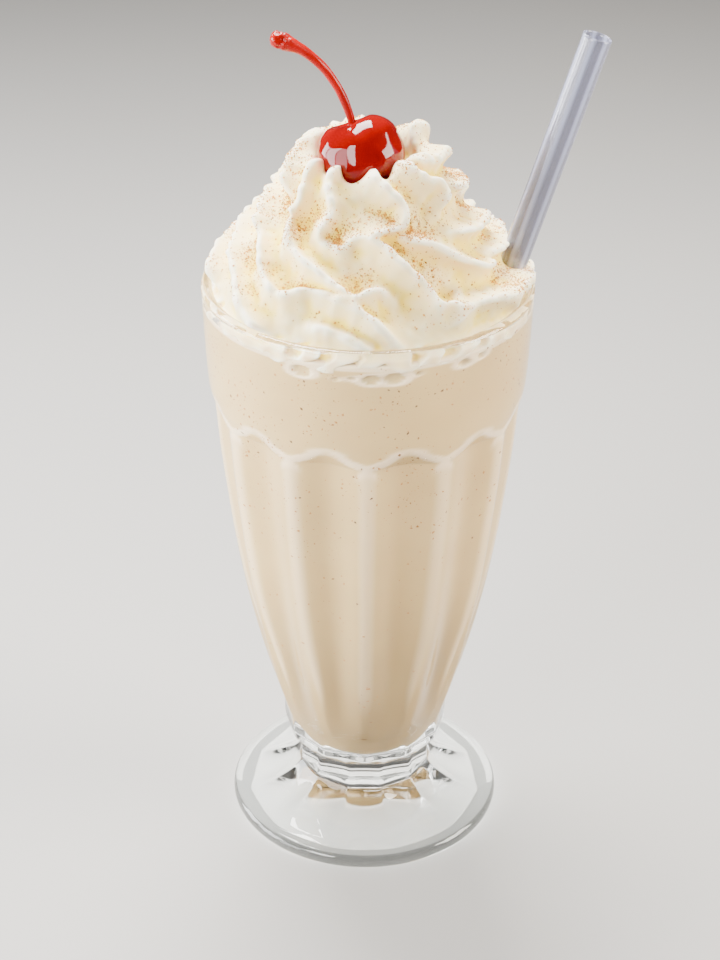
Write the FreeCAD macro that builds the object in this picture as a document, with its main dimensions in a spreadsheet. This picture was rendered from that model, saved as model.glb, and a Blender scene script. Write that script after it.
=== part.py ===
import FreeCAD, Part
import math
import os

# Vanilla milkshake in a footed soda glass.
# Millimetres, +Z up, the front towards -Y.
# Origin: the middle of the foot's underside, on the glass's axis, where it stands on the table.

# ---------------------------------------------------------------- driving dimensions
# Every size is written once, here; the model below is bound to these names.
# A value that starts with = is worked out from sizes above it, so that it follows them.
SIZES = (
    # glass: foot
    ("foot_d", 82.0, "outside diameter of the foot"),
    ("foot_bead", 2.4, "radius of the rounded bead round the foot's edge"),
    ("foot_land", 4.6, "width of the flat ring that the glass stands on"),
    ("foot_hollow", 3.4, "depth of the shallow hollow under the foot"),
    ("flare_mid_r", 28.0, "corner radius half way up the foot's flare"),
    ("flare_mid_z", 9.2, "height half way up the foot's flare"),
    ("flare_rim_gap", 1.2, "step between the flare's outer edge and the bead"),
    # glass: stem between foot and bowl
    ("neck_r", 20.0, "corner radius of the faceted neck"),
    ("neck_low_z", 14.5, "lower end of the neck"),
    ("neck_top_z", 23.7, "upper end of the neck"),
    # glass: bowl
    ("flute_count", 12, "flat panels round the bowl, the neck and the foot"),
    ("heel_r", 24.5, "corner radius of the bowl's rounded heel"),
    ("heel_z", 28.0, "height of the bowl's rounded heel"),
    ("waist_r", 24.9, "corner radius just above the heel"),
    ("waist_z", 34.0, "height of the waist above the heel"),
    ("foot_end_r", 26.6, "corner radius at the bowl's foot end"),
    ("foot_end_z", 40.0, "height of the bowl's foot end"),
    ("low_r", 29.6, "corner radius of the lower bowl"),
    ("low_z", 50.0, "height of the lower bowl's section"),
    ("lower_mid_r", 33.15, "corner radius between the lower bowl and the middle"),
    ("lower_mid_z", 64.0, "height of that section"),
    ("belly_r", 36.4, "corner radius of the middle of the bowl"),
    ("belly_z", 80.0, "height of the middle of the bowl"),
    ("upper_mid_r", 38.8, "corner radius between the middle and the upper bowl"),
    ("upper_mid_z", 95.0, "height of that section"),
    ("upper_r", 40.7, "corner radius of the upper bowl"),
    ("upper_z", 110.0, "height of the upper bowl's section"),
    ("high_r", 42.25, "corner radius of the highest part of the panels"),
    ("high_z", 124.0, "height of that section"),
    ("cusp_r", 43.3, "corner radius where the panels begin to run out"),
    ("cusp_z", 140.0, "height where the panels begin to run out"),
    ("arch_rise", 6.0, "height of the arched run-out of each panel"),
    ("arch_flare", 3.1, "how far the panels lean out over the run-out"),
    # glass: plain band and rim
    ("band_low_r", 43.6, "radius of the band's lower edge"),
    ("band_r", 44.9, "radius of the band just above its rounded step"),
    ("band_z", 149.0, "height of the top of the rounded step"),
    ("rim_d", 92.0, "outside diameter of the rim"),
    ("glass_h", 176.8, "height of the glass"),
    ("rim_wall", 3.1, "wall at the rim"),
    # glass: inside
    ("floor_z", 24.6, "height of the floor of the inside"),
    ("floor_r", 8.5, "flat radius of the floor of the inside"),
    ("floor_bend", 3.0, "height of the bend between floor and wall"),
    ("floor_bend_r", 13.8, "radius at the top of that bend"),
    ("low_wall", 5.7, "wall at the lower bowl's ridges"),
    ("belly_wall", 4.1, "wall at the middle of the bowl's ridges"),
    ("upper_wall", 3.4, "wall at the upper bowl's ridges"),
    ("cusp_wall", 3.0, "wall where the panels run out"),
    ("band_bulge", 0.36, "share of the band's height where its wall is measured"),
    ("band_wall", 0.9, "how much thicker the wall is there than at the rim"),
    # drink and cream
    ("headroom", 8.8, "how far the milkshake's level lies below the rim"),
    ("shake_level", "=glass_h - headroom", "level of the milkshake"),
    ("cream_gap", 0.25, "clearance between the cream and the inside of the glass"),
    ("cream_shoulder", 3.7, "how far the cream's lowest bulge lies above the rim"),
    ("cream_shoulder_z", "=glass_h + cream_shoulder", "height of the cream's lowest bulge"),
    ("cream_crest", 33.7, "how far the crest round the cherry rises above that bulge"),
    ("cream_peak_z", "=cream_shoulder_z + cream_crest", "mean height of the crest round the cherry"),
    ("cream_lean_x", 2.2, "how much higher the crest is on the right than the mean"),
    ("cream_lean_y", 2.5, "how much higher the crest is at the back than the mean"),
    ("cream_saddle", 2.1, "how far both sides rise and the front and back dip"),
    ("cream_swell", 2.6, "how far the cream's flank swells outwards"),
    ("cream_peak_r", 14.5, "mean radius of the crest round the cherry"),
    ("cream_nest", 11.2, "depth of the nest under the cherry, below the crest"),
    ("cream_nest_z", "=cream_peak_z - cream_nest", "height of the nest under the cherry"),
    ("cream_ridges", 10, "piped ridges round the cream"),
    ("cream_ridge", 2.8, "how far the ridges stand out on either side of the mean"),
    ("cream_twist", 96.0, "degrees that each ridge turns on its way down"),
    ("cream_turns", 3, "turns of the piped coil"),
    ("cream_coil", 1.3, "how far each turn of the coil bulges"),
    # cherry
    ("cherry_d", 23.2, "diameter of the cherry"),
    ("cherry_x", -2.0, "cherry's middle, sideways"),
    ("cherry_y", -2.0, "cherry's middle, front to back"),
    ("cherry_top", 9.4, "shoulder of the cherry above its middle"),
    ("cherry_base", 10.2, "bottom of the cherry below its middle"),
    ("cherry_seat", 0.2, "how far the cherry's bottom lies above the nest's lowest point"),
    ("cherry_z", "=cream_nest_z + cherry_seat + cherry_base", "height of the cherry's middle"),
    ("cherry_dimple", 3.2, "depth of the dimple in the cherry's top"),
    ("cherry_tilt", 26.0, "degrees that the cherry leans over"),
    ("cherry_turn", 140.0, "direction it leans in, degrees from +X"),
    # cherry stem
    ("stem_root", 2.0, "depth of the stem's root in the cherry"),
    ("stem_lean", 4.0, "sideways reach of the bend's middle pole"),
    ("stem_climb", 22.2, "height of the bend's middle pole above the root"),
    ("stem_reach", 19.3, "sideways reach of the stem's tip"),
    ("stem_rise", 27.4, "height of the stem's tip above the root"),
    ("stem_root_d", 2.1, "diameter at the root"),
    ("stem_mid_d", 2.45, "diameter at the middle"),
    ("stem_neck_d", 3.0, "diameter just before the knob"),
    ("stem_knob_d", 4.0, "diameter of the knob at the tip"),
    # straw
    ("straw_d", 8.0, "outside diameter of the straw"),
    ("straw_wall", 0.35, "wall of the straw"),
    ("straw_length", 223.0, "length of the straw"),
    ("straw_turn", 4.4, "direction it leans in, degrees from +X"),
    ("straw_foot_x", -5.9, "lower end's middle, sideways"),
    ("straw_foot_y", -2.0, "lower end's middle, front to back"),
    ("straw_foot_z", 32.0, "lower end's middle, height"),
    ("straw_gap", 0.2537, "clearance between the straw and the rim that it leans towards"),
    ("straw_reach", "=rim_d / 2 - rim_wall - straw_gap - straw_d / 2 - straw_foot_x",
     "sideways from the lower end to where the middle line passes the rim"),
    ("straw_tilt", "=atan2(straw_reach; glass_h - straw_foot_z)", "lean of the straw from upright"),
)

doc = FreeCAD.newDocument("milkshake")
sheet = doc.addObject("Spreadsheet::Sheet", "dims")
for row, (alias, value, note) in enumerate(SIZES, start=1):
    sheet.set("A%d" % row, alias)
    sheet.set("B%d" % row, str(value))
    sheet.set("C%d" % row, note)
    sheet.setAlias("B%d" % row, alias)
doc.recompute()

SEGMENTS = 8        # sections along the cherry stem
CREAM_POLES = 8     # control poles across one ridge of the cream


def size(alias):
    """The plain number of one named size."""
    return float(sheet.get(alias))


def bind(obj, **formulas):
    """Tie properties of an object to formulas over the sheet's names; __ stands for a dot."""
    for name, formula in formulas.items():
        obj.setExpression(name.replace("__", "."), formula)
    return obj


def circle(name, radius, height):
    """A level circle on the glass's axis."""
    ring = doc.addObject("Part::Circle", name)
    return bind(ring, Radius=radius, Placement__Base__z=height)


def polygon(name, corner_radius, height, turn="0"):
    """A level polygon with a corner for each ridge between two panels."""
    ring = doc.addObject("Part::RegularPolygon", name)
    ring.Placement = FreeCAD.Placement(FreeCAD.Vector(), FreeCAD.Rotation(FreeCAD.Vector(0, 0, 1), 0))
    bind(ring, Polygon="dims.flute_count", Circumradius=corner_radius)
    return bind(ring, Placement__Base__z=height, Placement__Rotation__Angle=turn)


def loft(name, sections, ruled=False):
    """A closed solid through level sections, from the lowest to the highest."""
    skin = doc.addObject("Part::Loft", name)
    skin.Sections = sections
    skin.Solid = True
    skin.Ruled = ruled
    return skin


def cylinder(name, radius, height, base="0"):
    """An upright cylinder on the glass's axis."""
    rod = doc.addObject("Part::Cylinder", name)
    return bind(rod, Radius=radius, Height=height, Placement__Base__z=base)


def cut(name, base, tool):
    """What is left of the base once the tool is taken out of it."""
    rest = doc.addObject("Part::Cut", name)
    rest.Base = base
    rest.Tool = tool
    return rest


def fuse(name, shapes):
    """Several shapes joined to one."""
    whole = doc.addObject("Part::MultiFuse", name)
    whole.Shapes = shapes
    whole.Refine = False
    return whole


def common(name, shapes):
    """What several shapes share."""
    shared = doc.addObject("Part::MultiCommon", name)
    shared.Shapes = shapes
    return shared


# ---------------------------------------------------------------- glass
HALF_PANEL = "180 / dims.flute_count"
FLARE_R = "dims.foot_d / 2 - dims.foot_bead - dims.flare_rim_gap"

# The foot: a disc with a beaded edge, a faceted flare on it and the faceted neck.
foot_disc = cylinder("foot_disc", "dims.foot_d / 2 - dims.foot_bead", "2 * dims.foot_bead")
foot_bead = doc.addObject("Part::Torus", "foot_edge")
bind(foot_bead, Radius1="dims.foot_d / 2 - dims.foot_bead", Radius2="dims.foot_bead")
bind(foot_bead, Placement__Base__z="dims.foot_bead")
flare = loft("foot_flare", [
    polygon("flare_base", FLARE_R, "dims.foot_bead", HALF_PANEL),
    polygon("flare_edge", FLARE_R + " - 1", "2 * dims.foot_bead + 0.6", HALF_PANEL),
    polygon("flare_mid", "dims.flare_mid_r", "dims.flare_mid_z", HALF_PANEL),
    polygon("flare_top", "dims.neck_r", "dims.neck_low_z", HALF_PANEL),
])
neck = loft("neck", [
    polygon("neck_low", "dims.neck_r", "dims.neck_low_z", HALF_PANEL),
    polygon("neck_top", "dims.neck_r", "dims.neck_top_z", HALF_PANEL),
], ruled=True)
heel = loft("heel_collar", [
    polygon("collar_low", "dims.neck_r", "dims.neck_top_z", HALF_PANEL),
    polygon("collar_top", "dims.heel_r", "dims.heel_z", HALF_PANEL),
    polygon("collar_end", "dims.heel_r - 1", "dims.waist_z", HALF_PANEL),
], ruled=True)

# The bowl: twelve panels, whose planes lean out at the top and so end in arches on the round band.
panels = loft("bowl_panels", [
    polygon("bowl_base", "dims.heel_r - 1", "dims.heel_z - 2"),
    polygon("bowl_heel", "dims.heel_r", "dims.heel_z"),
    polygon("bowl_waist", "dims.waist_r", "dims.waist_z"),
    polygon("bowl_foot_end", "dims.foot_end_r", "dims.foot_end_z"),
    polygon("bowl_low", "dims.low_r", "dims.low_z"),
    polygon("bowl_lower_mid", "dims.lower_mid_r", "dims.lower_mid_z"),
    polygon("bowl_belly", "dims.belly_r", "dims.belly_z"),
    polygon("bowl_upper_mid", "dims.upper_mid_r", "dims.upper_mid_z"),
    polygon("bowl_upper", "dims.upper_r", "dims.upper_z"),
    polygon("bowl_high", "dims.high_r", "dims.high_z"),
    polygon("bowl_cusp", "dims.cusp_r", "dims.cusp_z"),
])
run_out = loft("panel_run_out", [
    polygon("run_out_low", "dims.cusp_r", "dims.cusp_z"),
    polygon("run_out_top", "dims.cusp_r + dims.arch_flare", "dims.cusp_z + dims.arch_rise"),
], ruled=True)
step = loft("band_step", [
    circle("step_low", "dims.band_low_r", "dims.cusp_z - 1"),
    circle("step_mid", "dims.band_low_r + 0.25", "dims.cusp_z + 3"),
    circle("step_bulge", "dims.band_r - 0.35", "dims.cusp_z + 7"),
    circle("step_top", "dims.band_r", "dims.band_z"),
])
arches = common("panel_arches", [run_out, step])
band_above = cylinder("band_above", "dims.rim_d", "dims.glass_h", "dims.cusp_z + dims.arch_rise")
band_ring = common("band_ring", [step, band_above])
band = loft("plain_band", [
    circle("band_foot", "dims.band_r", "dims.band_z"),
    circle("band_middle", "(dims.band_r + dims.rim_d / 2) / 2 + 0.15", "(dims.band_z + dims.glass_h) / 2"),
    circle("band_head", "dims.rim_d / 2", "dims.glass_h - dims.rim_wall / 2"),
])
rim = doc.addObject("Part::Torus", "rim_bead")
bind(rim, Radius1="(dims.rim_d - dims.rim_wall) / 2", Radius2="dims.rim_wall / 2")
bind(rim, Placement__Base__z="dims.glass_h - dims.rim_wall / 2")
rim_above = cylinder("rim_above", "dims.rim_d", "dims.rim_wall", "dims.glass_h - dims.rim_wall / 2")
rim_top = common("rim_top", [rim, rim_above])

# The inside, a touch thicker towards the floor.
inside = loft("inside", [
    circle("in_floor", "dims.floor_r", "dims.floor_z"),
    circle("in_bend", "dims.floor_bend_r", "dims.floor_z + dims.floor_bend"),
    circle("in_low", "dims.low_r - dims.low_wall", "dims.low_z"),
    circle("in_belly", "dims.belly_r - dims.belly_wall", "dims.belly_z"),
    circle("in_upper", "dims.upper_r - dims.upper_wall", "dims.upper_z"),
    circle("in_cusp", "dims.cusp_r - dims.cusp_wall", "dims.cusp_z"),
    circle("in_band", "dims.rim_d / 2 - dims.rim_wall - dims.band_wall",
           "dims.band_z + dims.band_bulge * (dims.glass_h - dims.band_z)"),
    circle("in_rim", "dims.rim_d / 2 - dims.rim_wall", "dims.glass_h - dims.rim_wall / 2"),
])
hollow = doc.addObject("Part::Sphere", "foot_hollow_form")
hollow_r = (
    "((dims.foot_d / 2 - dims.foot_bead - dims.foot_land) ^ 2 + dims.foot_hollow ^ 2)"
    " / (2 * dims.foot_hollow)"
)
bind(hollow, Radius=hollow_r, Placement__Base__z="dims.foot_hollow - %s" % hollow_r)

glass_form = fuse("glass_form", [
    foot_disc, foot_bead, flare, neck, heel, panels, arches, band_ring, band, rim_top,
])
glass_bowl = cut("glass_bowl", glass_form, inside)
glass = cut("glass", glass_bowl, hollow)

# ---------------------------------------------------------------- straw
def slanted_rod(name, radius, length, start):
    """A rod on the straw's axis; start is how far below the straw's lower end it begins."""
    rod = doc.addObject("Part::Cylinder", name)
    rod.Placement = FreeCAD.Placement(FreeCAD.Vector(), FreeCAD.Rotation(FreeCAD.Vector(0, 1, 0), 1))
    bind(rod, Radius=radius, Height=length)
    bind(
        rod,
        Placement__Rotation__Axis__x="-sin(dims.straw_turn)",
        Placement__Rotation__Axis__y="cos(dims.straw_turn)",
        Placement__Rotation__Angle="dims.straw_tilt",
    )
    return bind(
        rod,
        Placement__Base__x="dims.straw_foot_x - %s * sin(dims.straw_tilt) * cos(dims.straw_turn)" % start,
        Placement__Base__y="dims.straw_foot_y - %s * sin(dims.straw_tilt) * sin(dims.straw_turn)" % start,
        Placement__Base__z="dims.straw_foot_z - %s * cos(dims.straw_tilt)" % start,
    )


straw_rod = slanted_rod("straw_rod", "dims.straw_d / 2", "dims.straw_length", 0)
straw_bore = slanted_rod("straw_bore", "dims.straw_d / 2 - dims.straw_wall", "dims.straw_length + 2", 1)
straw = cut("straw", straw_rod, straw_bore)

# ---------------------------------------------------------------- milkshake
# It fills the inside up to its level, and the straw's bore as well.
drink_block = cylinder("drink_block", "dims.rim_d", "dims.shake_level")
drink = common("drink", [inside, drink_block])
milkshake = cut("milkshake", drink, straw)

# ---------------------------------------------------------------- cherry and its stem
# Height and radius of each section, as shares of the cherry's own sizes.
CHERRY_SECTIONS = (
    ("-dims.cherry_base", 0.13),
    ("-0.90 * dims.cherry_base", 0.50),
    ("-0.62 * dims.cherry_base", 0.84),
    ("-0.12 * dims.cherry_base", 1.0),
    ("0.45 * dims.cherry_top", 0.94),
    ("0.84 * dims.cherry_top", 0.72),
    ("dims.cherry_top", 0.45),
    ("dims.cherry_top - 0.5 * dims.cherry_dimple", 0.22),
    ("dims.cherry_top - dims.cherry_dimple", 0.13),
)
cherry_form = loft("cherry_form", [
    circle("cherry_%d" % i, "%g * dims.cherry_d / 2" % share, height)
    for i, (height, share) in enumerate(CHERRY_SECTIONS)
])
cherry_form.Placement = FreeCAD.Placement(FreeCAD.Vector(), FreeCAD.Rotation(FreeCAD.Vector(0, 1, 0), 1))
bind(
    cherry_form,
    Placement__Rotation__Axis__x="-sin(dims.cherry_turn)",
    Placement__Rotation__Axis__y="cos(dims.cherry_turn)",
    Placement__Rotation__Angle="dims.cherry_tilt",
    Placement__Base__x="dims.cherry_x",
    Placement__Base__y="dims.cherry_y",
    Placement__Base__z="dims.cherry_z",
)

ROOT_AT = "(dims.cherry_top - dims.cherry_dimple - dims.stem_root)"
ROOT_X = "(dims.cherry_x + %s * sin(dims.cherry_tilt) * cos(dims.cherry_turn))" % ROOT_AT
ROOT_Y = "(dims.cherry_y + %s * sin(dims.cherry_tilt) * sin(dims.cherry_turn))" % ROOT_AT
ROOT_Z = "(dims.cherry_z + %s * cos(dims.cherry_tilt))" % ROOT_AT


def on_stem(obj, t):
    """Put an object on the stem's bent middle line at share t of its length, square to the line."""
    obj.Placement = FreeCAD.Placement(FreeCAD.Vector(), FreeCAD.Rotation(FreeCAD.Vector(0, 1, 0), 1))
    bend, tip = 2 * t * (1 - t), t * t
    slope, pull = 2 * (1 - 2 * t), 2 * t
    return bind(
        obj,
        Placement__Base__x="%s - (%g * dims.stem_lean + %g * dims.stem_reach)" % (ROOT_X, bend, tip),
        Placement__Base__y=ROOT_Y,
        Placement__Base__z="%s + %g * dims.stem_climb + %g * dims.stem_rise" % (ROOT_Z, bend, tip),
        Placement__Rotation__Angle="-atan2(%g * dims.stem_lean + %g * dims.stem_reach; "
                                   "%g * dims.stem_climb + %g * dims.stem_rise)" % (slope, pull, slope, pull),
    )


def stem_width(t):
    """Formula for the stem's radius at share t: wide at the root, slim in the middle."""
    if t < 0.5:
        share = (1 - 2 * t) ** 2
        return "dims.stem_mid_d / 2 + %g * (dims.stem_root_d - dims.stem_mid_d) / 2" % share
    share = (2 * t - 1) ** 2
    return "dims.stem_mid_d / 2 + %g * (dims.stem_neck_d - dims.stem_mid_d) / 2" % share


stem_rings = []
for i in range(SEGMENTS + 1):
    ring = doc.addObject("Part::Circle", "stem_%d" % i)
    bind(ring, Radius=stem_width(i / SEGMENTS))
    stem_rings.append(on_stem(ring, i / SEGMENTS))
stem_rod = loft("stem_rod", stem_rings)
stem_knob = doc.addObject("Part::Ellipsoid", "stem_knob")
bind(stem_knob, Radius1="0.95 * dims.stem_knob_d")
bind(stem_knob, Radius2="dims.stem_knob_d / 2", Radius3="dims.stem_knob_d / 2")
on_stem(stem_knob, 1.0)
cherry_stem = fuse("cherry_stem", [stem_rod, stem_knob])
cherry = cut("cherry", cherry_form, stem_rod)


# ---------------------------------------------------------------- whipped cream
def lerp(a, b, t):
    """The value at share t between a and b."""
    return a + (b - a) * t


def cream_profile():
    """Mean outline of the cream from the glass up to the nest: (radius, height, ridge share)."""
    wall = size("rim_d") / 2 - size("rim_wall") - size("cream_gap")
    level, rim = size("shake_level"), size("glass_h")
    rows = [
        (wall - 0.45, level, 0.0),
        (wall - 0.40, lerp(level, rim, 0.35), 0.0),
        (wall - 0.30, lerp(level, rim, 0.70), 0.0),
        (wall - 0.30, rim - 0.4, 0.10),
        (wall - 0.10, rim + 1.6, 0.45),
    ]
    for step_no in range(14):
        t = step_no / 13
        swell = size("cream_swell") * math.sin(math.pi * t)
        radius = lerp(wall - 0.6, size("cream_peak_r"), t) + swell
        height = lerp(size("cream_shoulder_z"), size("cream_peak_z"), t) + 0.75 * swell
        rows.append((radius, height, 1.0 - 0.35 * t))
    peak, nest = size("cream_peak_z"), size("cream_nest_z")
    rows.append((size("cream_peak_r") - 3.2, peak + 0.6, 0.5))
    rows.append((size("cream_peak_r") - 6.4, lerp(peak, nest, 0.30), 0.3))
    rows.append((size("cream_peak_r") - 9.0, lerp(peak, nest, 0.75), 0.1))
    rows.append((size("cream_peak_r") - 12.0, nest, 0.0))
    return rows


def cream_pole(row, rows, column, columns):
    """One control pole of the piped swirl."""
    radius, height, ridge_share = rows[row]
    along = row / (len(rows) - 1)
    around = column / columns
    ridge_no = int(column // CREAM_POLES)
    crest = 1.0 - 2.0 * abs(math.sin(math.pi * column / CREAM_POLES)) ** 0.8
    uneven = 1.0 + 0.22 * math.sin(2.3 * ridge_no + 5.0 * along)
    uneven += 0.12 * math.sin(4.1 * ridge_no - 9.0 * along)
    angle = 2 * math.pi * around - math.radians(size("cream_twist")) * along
    angle += math.radians(2.2) * max(crest, 0.0) * ridge_share
    coil = math.cos(2 * math.pi * (size("cream_turns") * along + around))
    out = ridge_share * (size("cream_ridge") * uneven * crest + size("cream_coil") * coil)
    lift = (
        size("cream_lean_x") * math.cos(angle)
        + size("cream_lean_y") * math.sin(angle)
        + size("cream_saddle") * math.cos(2 * angle)
    )
    radius = radius + 0.80 * out
    height = height + 0.60 * out + lift * max(0.0, min(1.0, 3.0 * along - 1.35, 6.0 - 6.0 * along))
    return FreeCAD.Vector(radius * math.cos(angle), radius * math.sin(angle), height)


def cream_solid():
    """The piped cream as one closed solid, ridges and coil and all."""
    rows = cream_profile()
    columns = CREAM_POLES * int(size("cream_ridges"))
    poles = [[cream_pole(j, rows, i, columns) for j in range(len(rows))] for i in range(columns)]
    spans = len(rows) - 3
    skin = Part.BSplineSurface()
    skin.buildFromPolesMultsKnots(
        poles,
        [1] * (columns + 1),
        [4] + [1] * (spans - 1) + [4],
        [float(i) for i in range(columns + 1)],
        [float(i) for i in range(spans + 1)],
        True,
        False,
        3,
        3,
    )
    side = skin.toShape()
    ends = [edge for edge in side.Edges if len(edge.Vertexes) == 1]
    lids = [Part.Face(Part.Wire([edge])) for edge in ends]
    solid = Part.makeSolid(Part.makeShell([side] + lids))
    solid.fix(1e-6, 1e-6, 1e-4)    # turns both lids outwards
    return solid


cream_form = doc.addObject("Part::Feature", "cream_form")
cream_form.Shape = cream_solid()
cream_form.Placement = FreeCAD.Placement()
cream_round_straw = cut("cream_round_straw", cream_form, straw_rod)
whipped_cream = cut("whipped_cream", cream_round_straw, cherry_form)

# ---------------------------------------------------------------- names and files
NODES = {
    "glass": (glass, "Footed soda glass"),
    "milkshake": (milkshake, "Milkshake"),
    "whipped_cream": (whipped_cream, "Piped whipped cream"),
    "cherry": (cherry, "Cherry"),
    "cherry_stem": (cherry_stem, "Cherry stem"),
    "straw": (straw, "Straw"),
}
for node, (shape, label) in NODES.items():
    shape.Label = label

doc.recompute()
faults = [
    obj.Name
    for obj in doc.Objects
    if "Invalid" in obj.State or "Error" in obj.State
    or (hasattr(obj, "Shape") and (obj.Shape.isNull() or not obj.Shape.isValid()))
]
if faults:
    raise RuntimeError("these objects failed: %s" % ", ".join(faults))
for node, (shape, label) in NODES.items():
    if len(shape.Shape.Solids) != 1:
        raise RuntimeError("%s is not one solid" % node)

os.makedirs("parts", exist_ok=True)
for node, (shape, label) in NODES.items():
    shape.Shape.exportStep("parts/%s.step" % node)
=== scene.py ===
"""Looks of a vanilla milkshake in a footed soda glass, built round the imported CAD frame.

Every size is in millimetres in the classes below and becomes metres in the meshes.
The glass stands on z = 0 with its axis on the Z axis, and its front faces -Y.
"""

import logging
import math
from collections.abc import Callable, Sequence
from dataclasses import dataclass
from enum import Enum, IntEnum

import bpy
import numpy as np
from mathutils import Euler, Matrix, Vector


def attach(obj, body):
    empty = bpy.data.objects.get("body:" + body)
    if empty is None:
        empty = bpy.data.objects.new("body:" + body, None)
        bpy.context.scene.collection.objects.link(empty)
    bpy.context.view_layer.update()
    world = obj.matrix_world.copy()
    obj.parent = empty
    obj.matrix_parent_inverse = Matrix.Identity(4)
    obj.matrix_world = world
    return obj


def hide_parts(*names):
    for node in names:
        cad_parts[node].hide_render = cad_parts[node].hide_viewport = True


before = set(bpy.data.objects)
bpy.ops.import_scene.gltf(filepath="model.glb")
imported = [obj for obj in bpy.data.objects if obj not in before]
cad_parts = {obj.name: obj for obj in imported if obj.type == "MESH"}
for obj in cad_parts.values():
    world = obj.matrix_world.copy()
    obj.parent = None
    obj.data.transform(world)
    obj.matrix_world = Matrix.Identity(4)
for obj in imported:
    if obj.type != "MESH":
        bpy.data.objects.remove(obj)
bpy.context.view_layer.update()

MM = 0.001
TAU = 2.0 * math.pi
Numbers = float | np.ndarray
Socket = bpy.types.NodeSocket
Pairs = tuple[tuple[float, float], ...]
Triple = tuple[float, float, float]
Weigh = Callable[[np.ndarray, np.ndarray], np.ndarray]

log = logging.getLogger("milkshake")


class Seed(IntEnum):
    """What each set of random numbers is drawn for."""

    CREAM_SWELL = 3
    CREAM_GRAIN = 4
    EDGE_HEIGHTS = 5
    CHERRY_SKIN = 8
    SIDE_EDGES = 11
    DUST = 17
    DUST_DRIFTS = 18
    STEM_SHAPE = 21
    STEM_END = 22
    SPECKS = 31
    SPECK_GROUPS = 32
    CONTACT_LOBES = 41
    CONTACT_LEVEL = 42
    CONTACT_GAPS = 43
    CHERRY_BLOT = 44
    SOAKED_EDGE = 45


# ------------------------------------------------------------------ small maths

def smooth_line(x: Numbers, xs: Sequence[float], ys: Sequence[float]) -> np.ndarray:
    """A smooth curve through points that never overshoots them.

    Args:
        x: Where to read the curve.
        xs: Rising positions of its points.
        ys: Values at those points.

    Returns:
        The curve's values at x.
    """
    xs, ys = np.asarray(xs, float), np.asarray(ys, float)
    gap, rise = np.diff(xs), np.diff(ys)
    slope = rise / gap
    both = slope[:-1] * slope[1:]
    mid = np.where(both > 0.0, 2.0 * both / (slope[:-1] + slope[1:] + 1e-12), 0.0)
    tangent = np.concatenate(([slope[0]], mid, [slope[-1]]))
    x = np.clip(np.asarray(x, float), xs[0], xs[-1])
    k = np.clip(np.searchsorted(xs, x, side="right") - 1, 0, len(gap) - 1)
    t = (x - xs[k]) / gap[k]
    keep, pull = (1 + 2 * t) * (1 - t) ** 2, t * (1 - t) ** 2
    come, push = t * t * (3 - 2 * t), t * t * (t - 1)
    return keep * ys[k] + pull * gap[k] * tangent[k] + come * ys[k + 1] + push * gap[k] * tangent[k + 1]


def smooth_step(x: Numbers, low: float, high: float) -> np.ndarray:
    """0 below low, 1 above high and a soft rise between."""
    t = np.clip((np.asarray(x, float) - low) / (high - low), 0.0, 1.0)
    return t * t * (3 - 2 * t)


def soft_min(a: np.ndarray, b: np.ndarray, blend: float) -> np.ndarray:
    """The smaller of two values, with the corner between them rounded over a width of blend."""
    h = np.clip(0.5 + 0.5 * (b - a) / blend, 0.0, 1.0)
    return b * (1 - h) + a * h - blend * h * (1 - h)


def ripple(seed: int, count: int, *axes: np.ndarray) -> np.ndarray:
    """Smooth repeatable waves over any coordinates, between about -1 and 1.

    Args:
        seed: Which waves are drawn.
        count: How many waves are added up.
        *axes: Coordinate arrays, already scaled so that 1 is about one wave.

    Returns:
        The sum of the waves at each point.
    """
    rng = np.random.default_rng(seed)
    total = np.zeros(np.broadcast(*axes).shape)
    for _ in range(count):
        way = rng.normal(size=len(axes))
        way *= rng.uniform(0.6, 1.4) / np.linalg.norm(way)
        total += np.sin(TAU * sum(w * a for w, a in zip(way, axes)) + rng.uniform(0, TAU))
    return total / math.sqrt(count)


def travelled(steps: np.ndarray) -> np.ndarray:
    """The distance covered at each point of a line, from the lengths of its steps."""
    return np.concatenate(([0.0], np.cumsum(steps)))


def leaning(tilt: float, turn: float) -> np.ndarray:
    """The rotation that leans the Z axis over.

    Args:
        tilt: How far it leans, in degrees.
        turn: Which way it leans, in degrees round from +X.

    Returns:
        The rotation as a 3 x 3 matrix.
    """
    lean, way = math.radians(tilt), math.radians(turn)
    axis = Vector((math.sin(lean) * math.cos(way), math.sin(lean) * math.sin(way), math.cos(lean)))
    return np.array(Vector((0, 0, 1)).rotation_difference(axis).to_matrix())


def round_rings(turn: np.ndarray, rings: list[tuple[Numbers, Numbers]]) -> np.ndarray:
    """Points of rings round the Z axis.

    Args:
        turn: The directions of the points, in radians.
        rings: Radius and level of each ring, each as one number or one for every direction.

    Returns:
        Points as rings x around x 3.
    """
    return np.array([np.stack([r * np.cos(turn), r * np.sin(turn), z + 0 * turn], axis=-1) for r, z in rings])


# ------------------------------------------------------------------ mesh helpers

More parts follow.
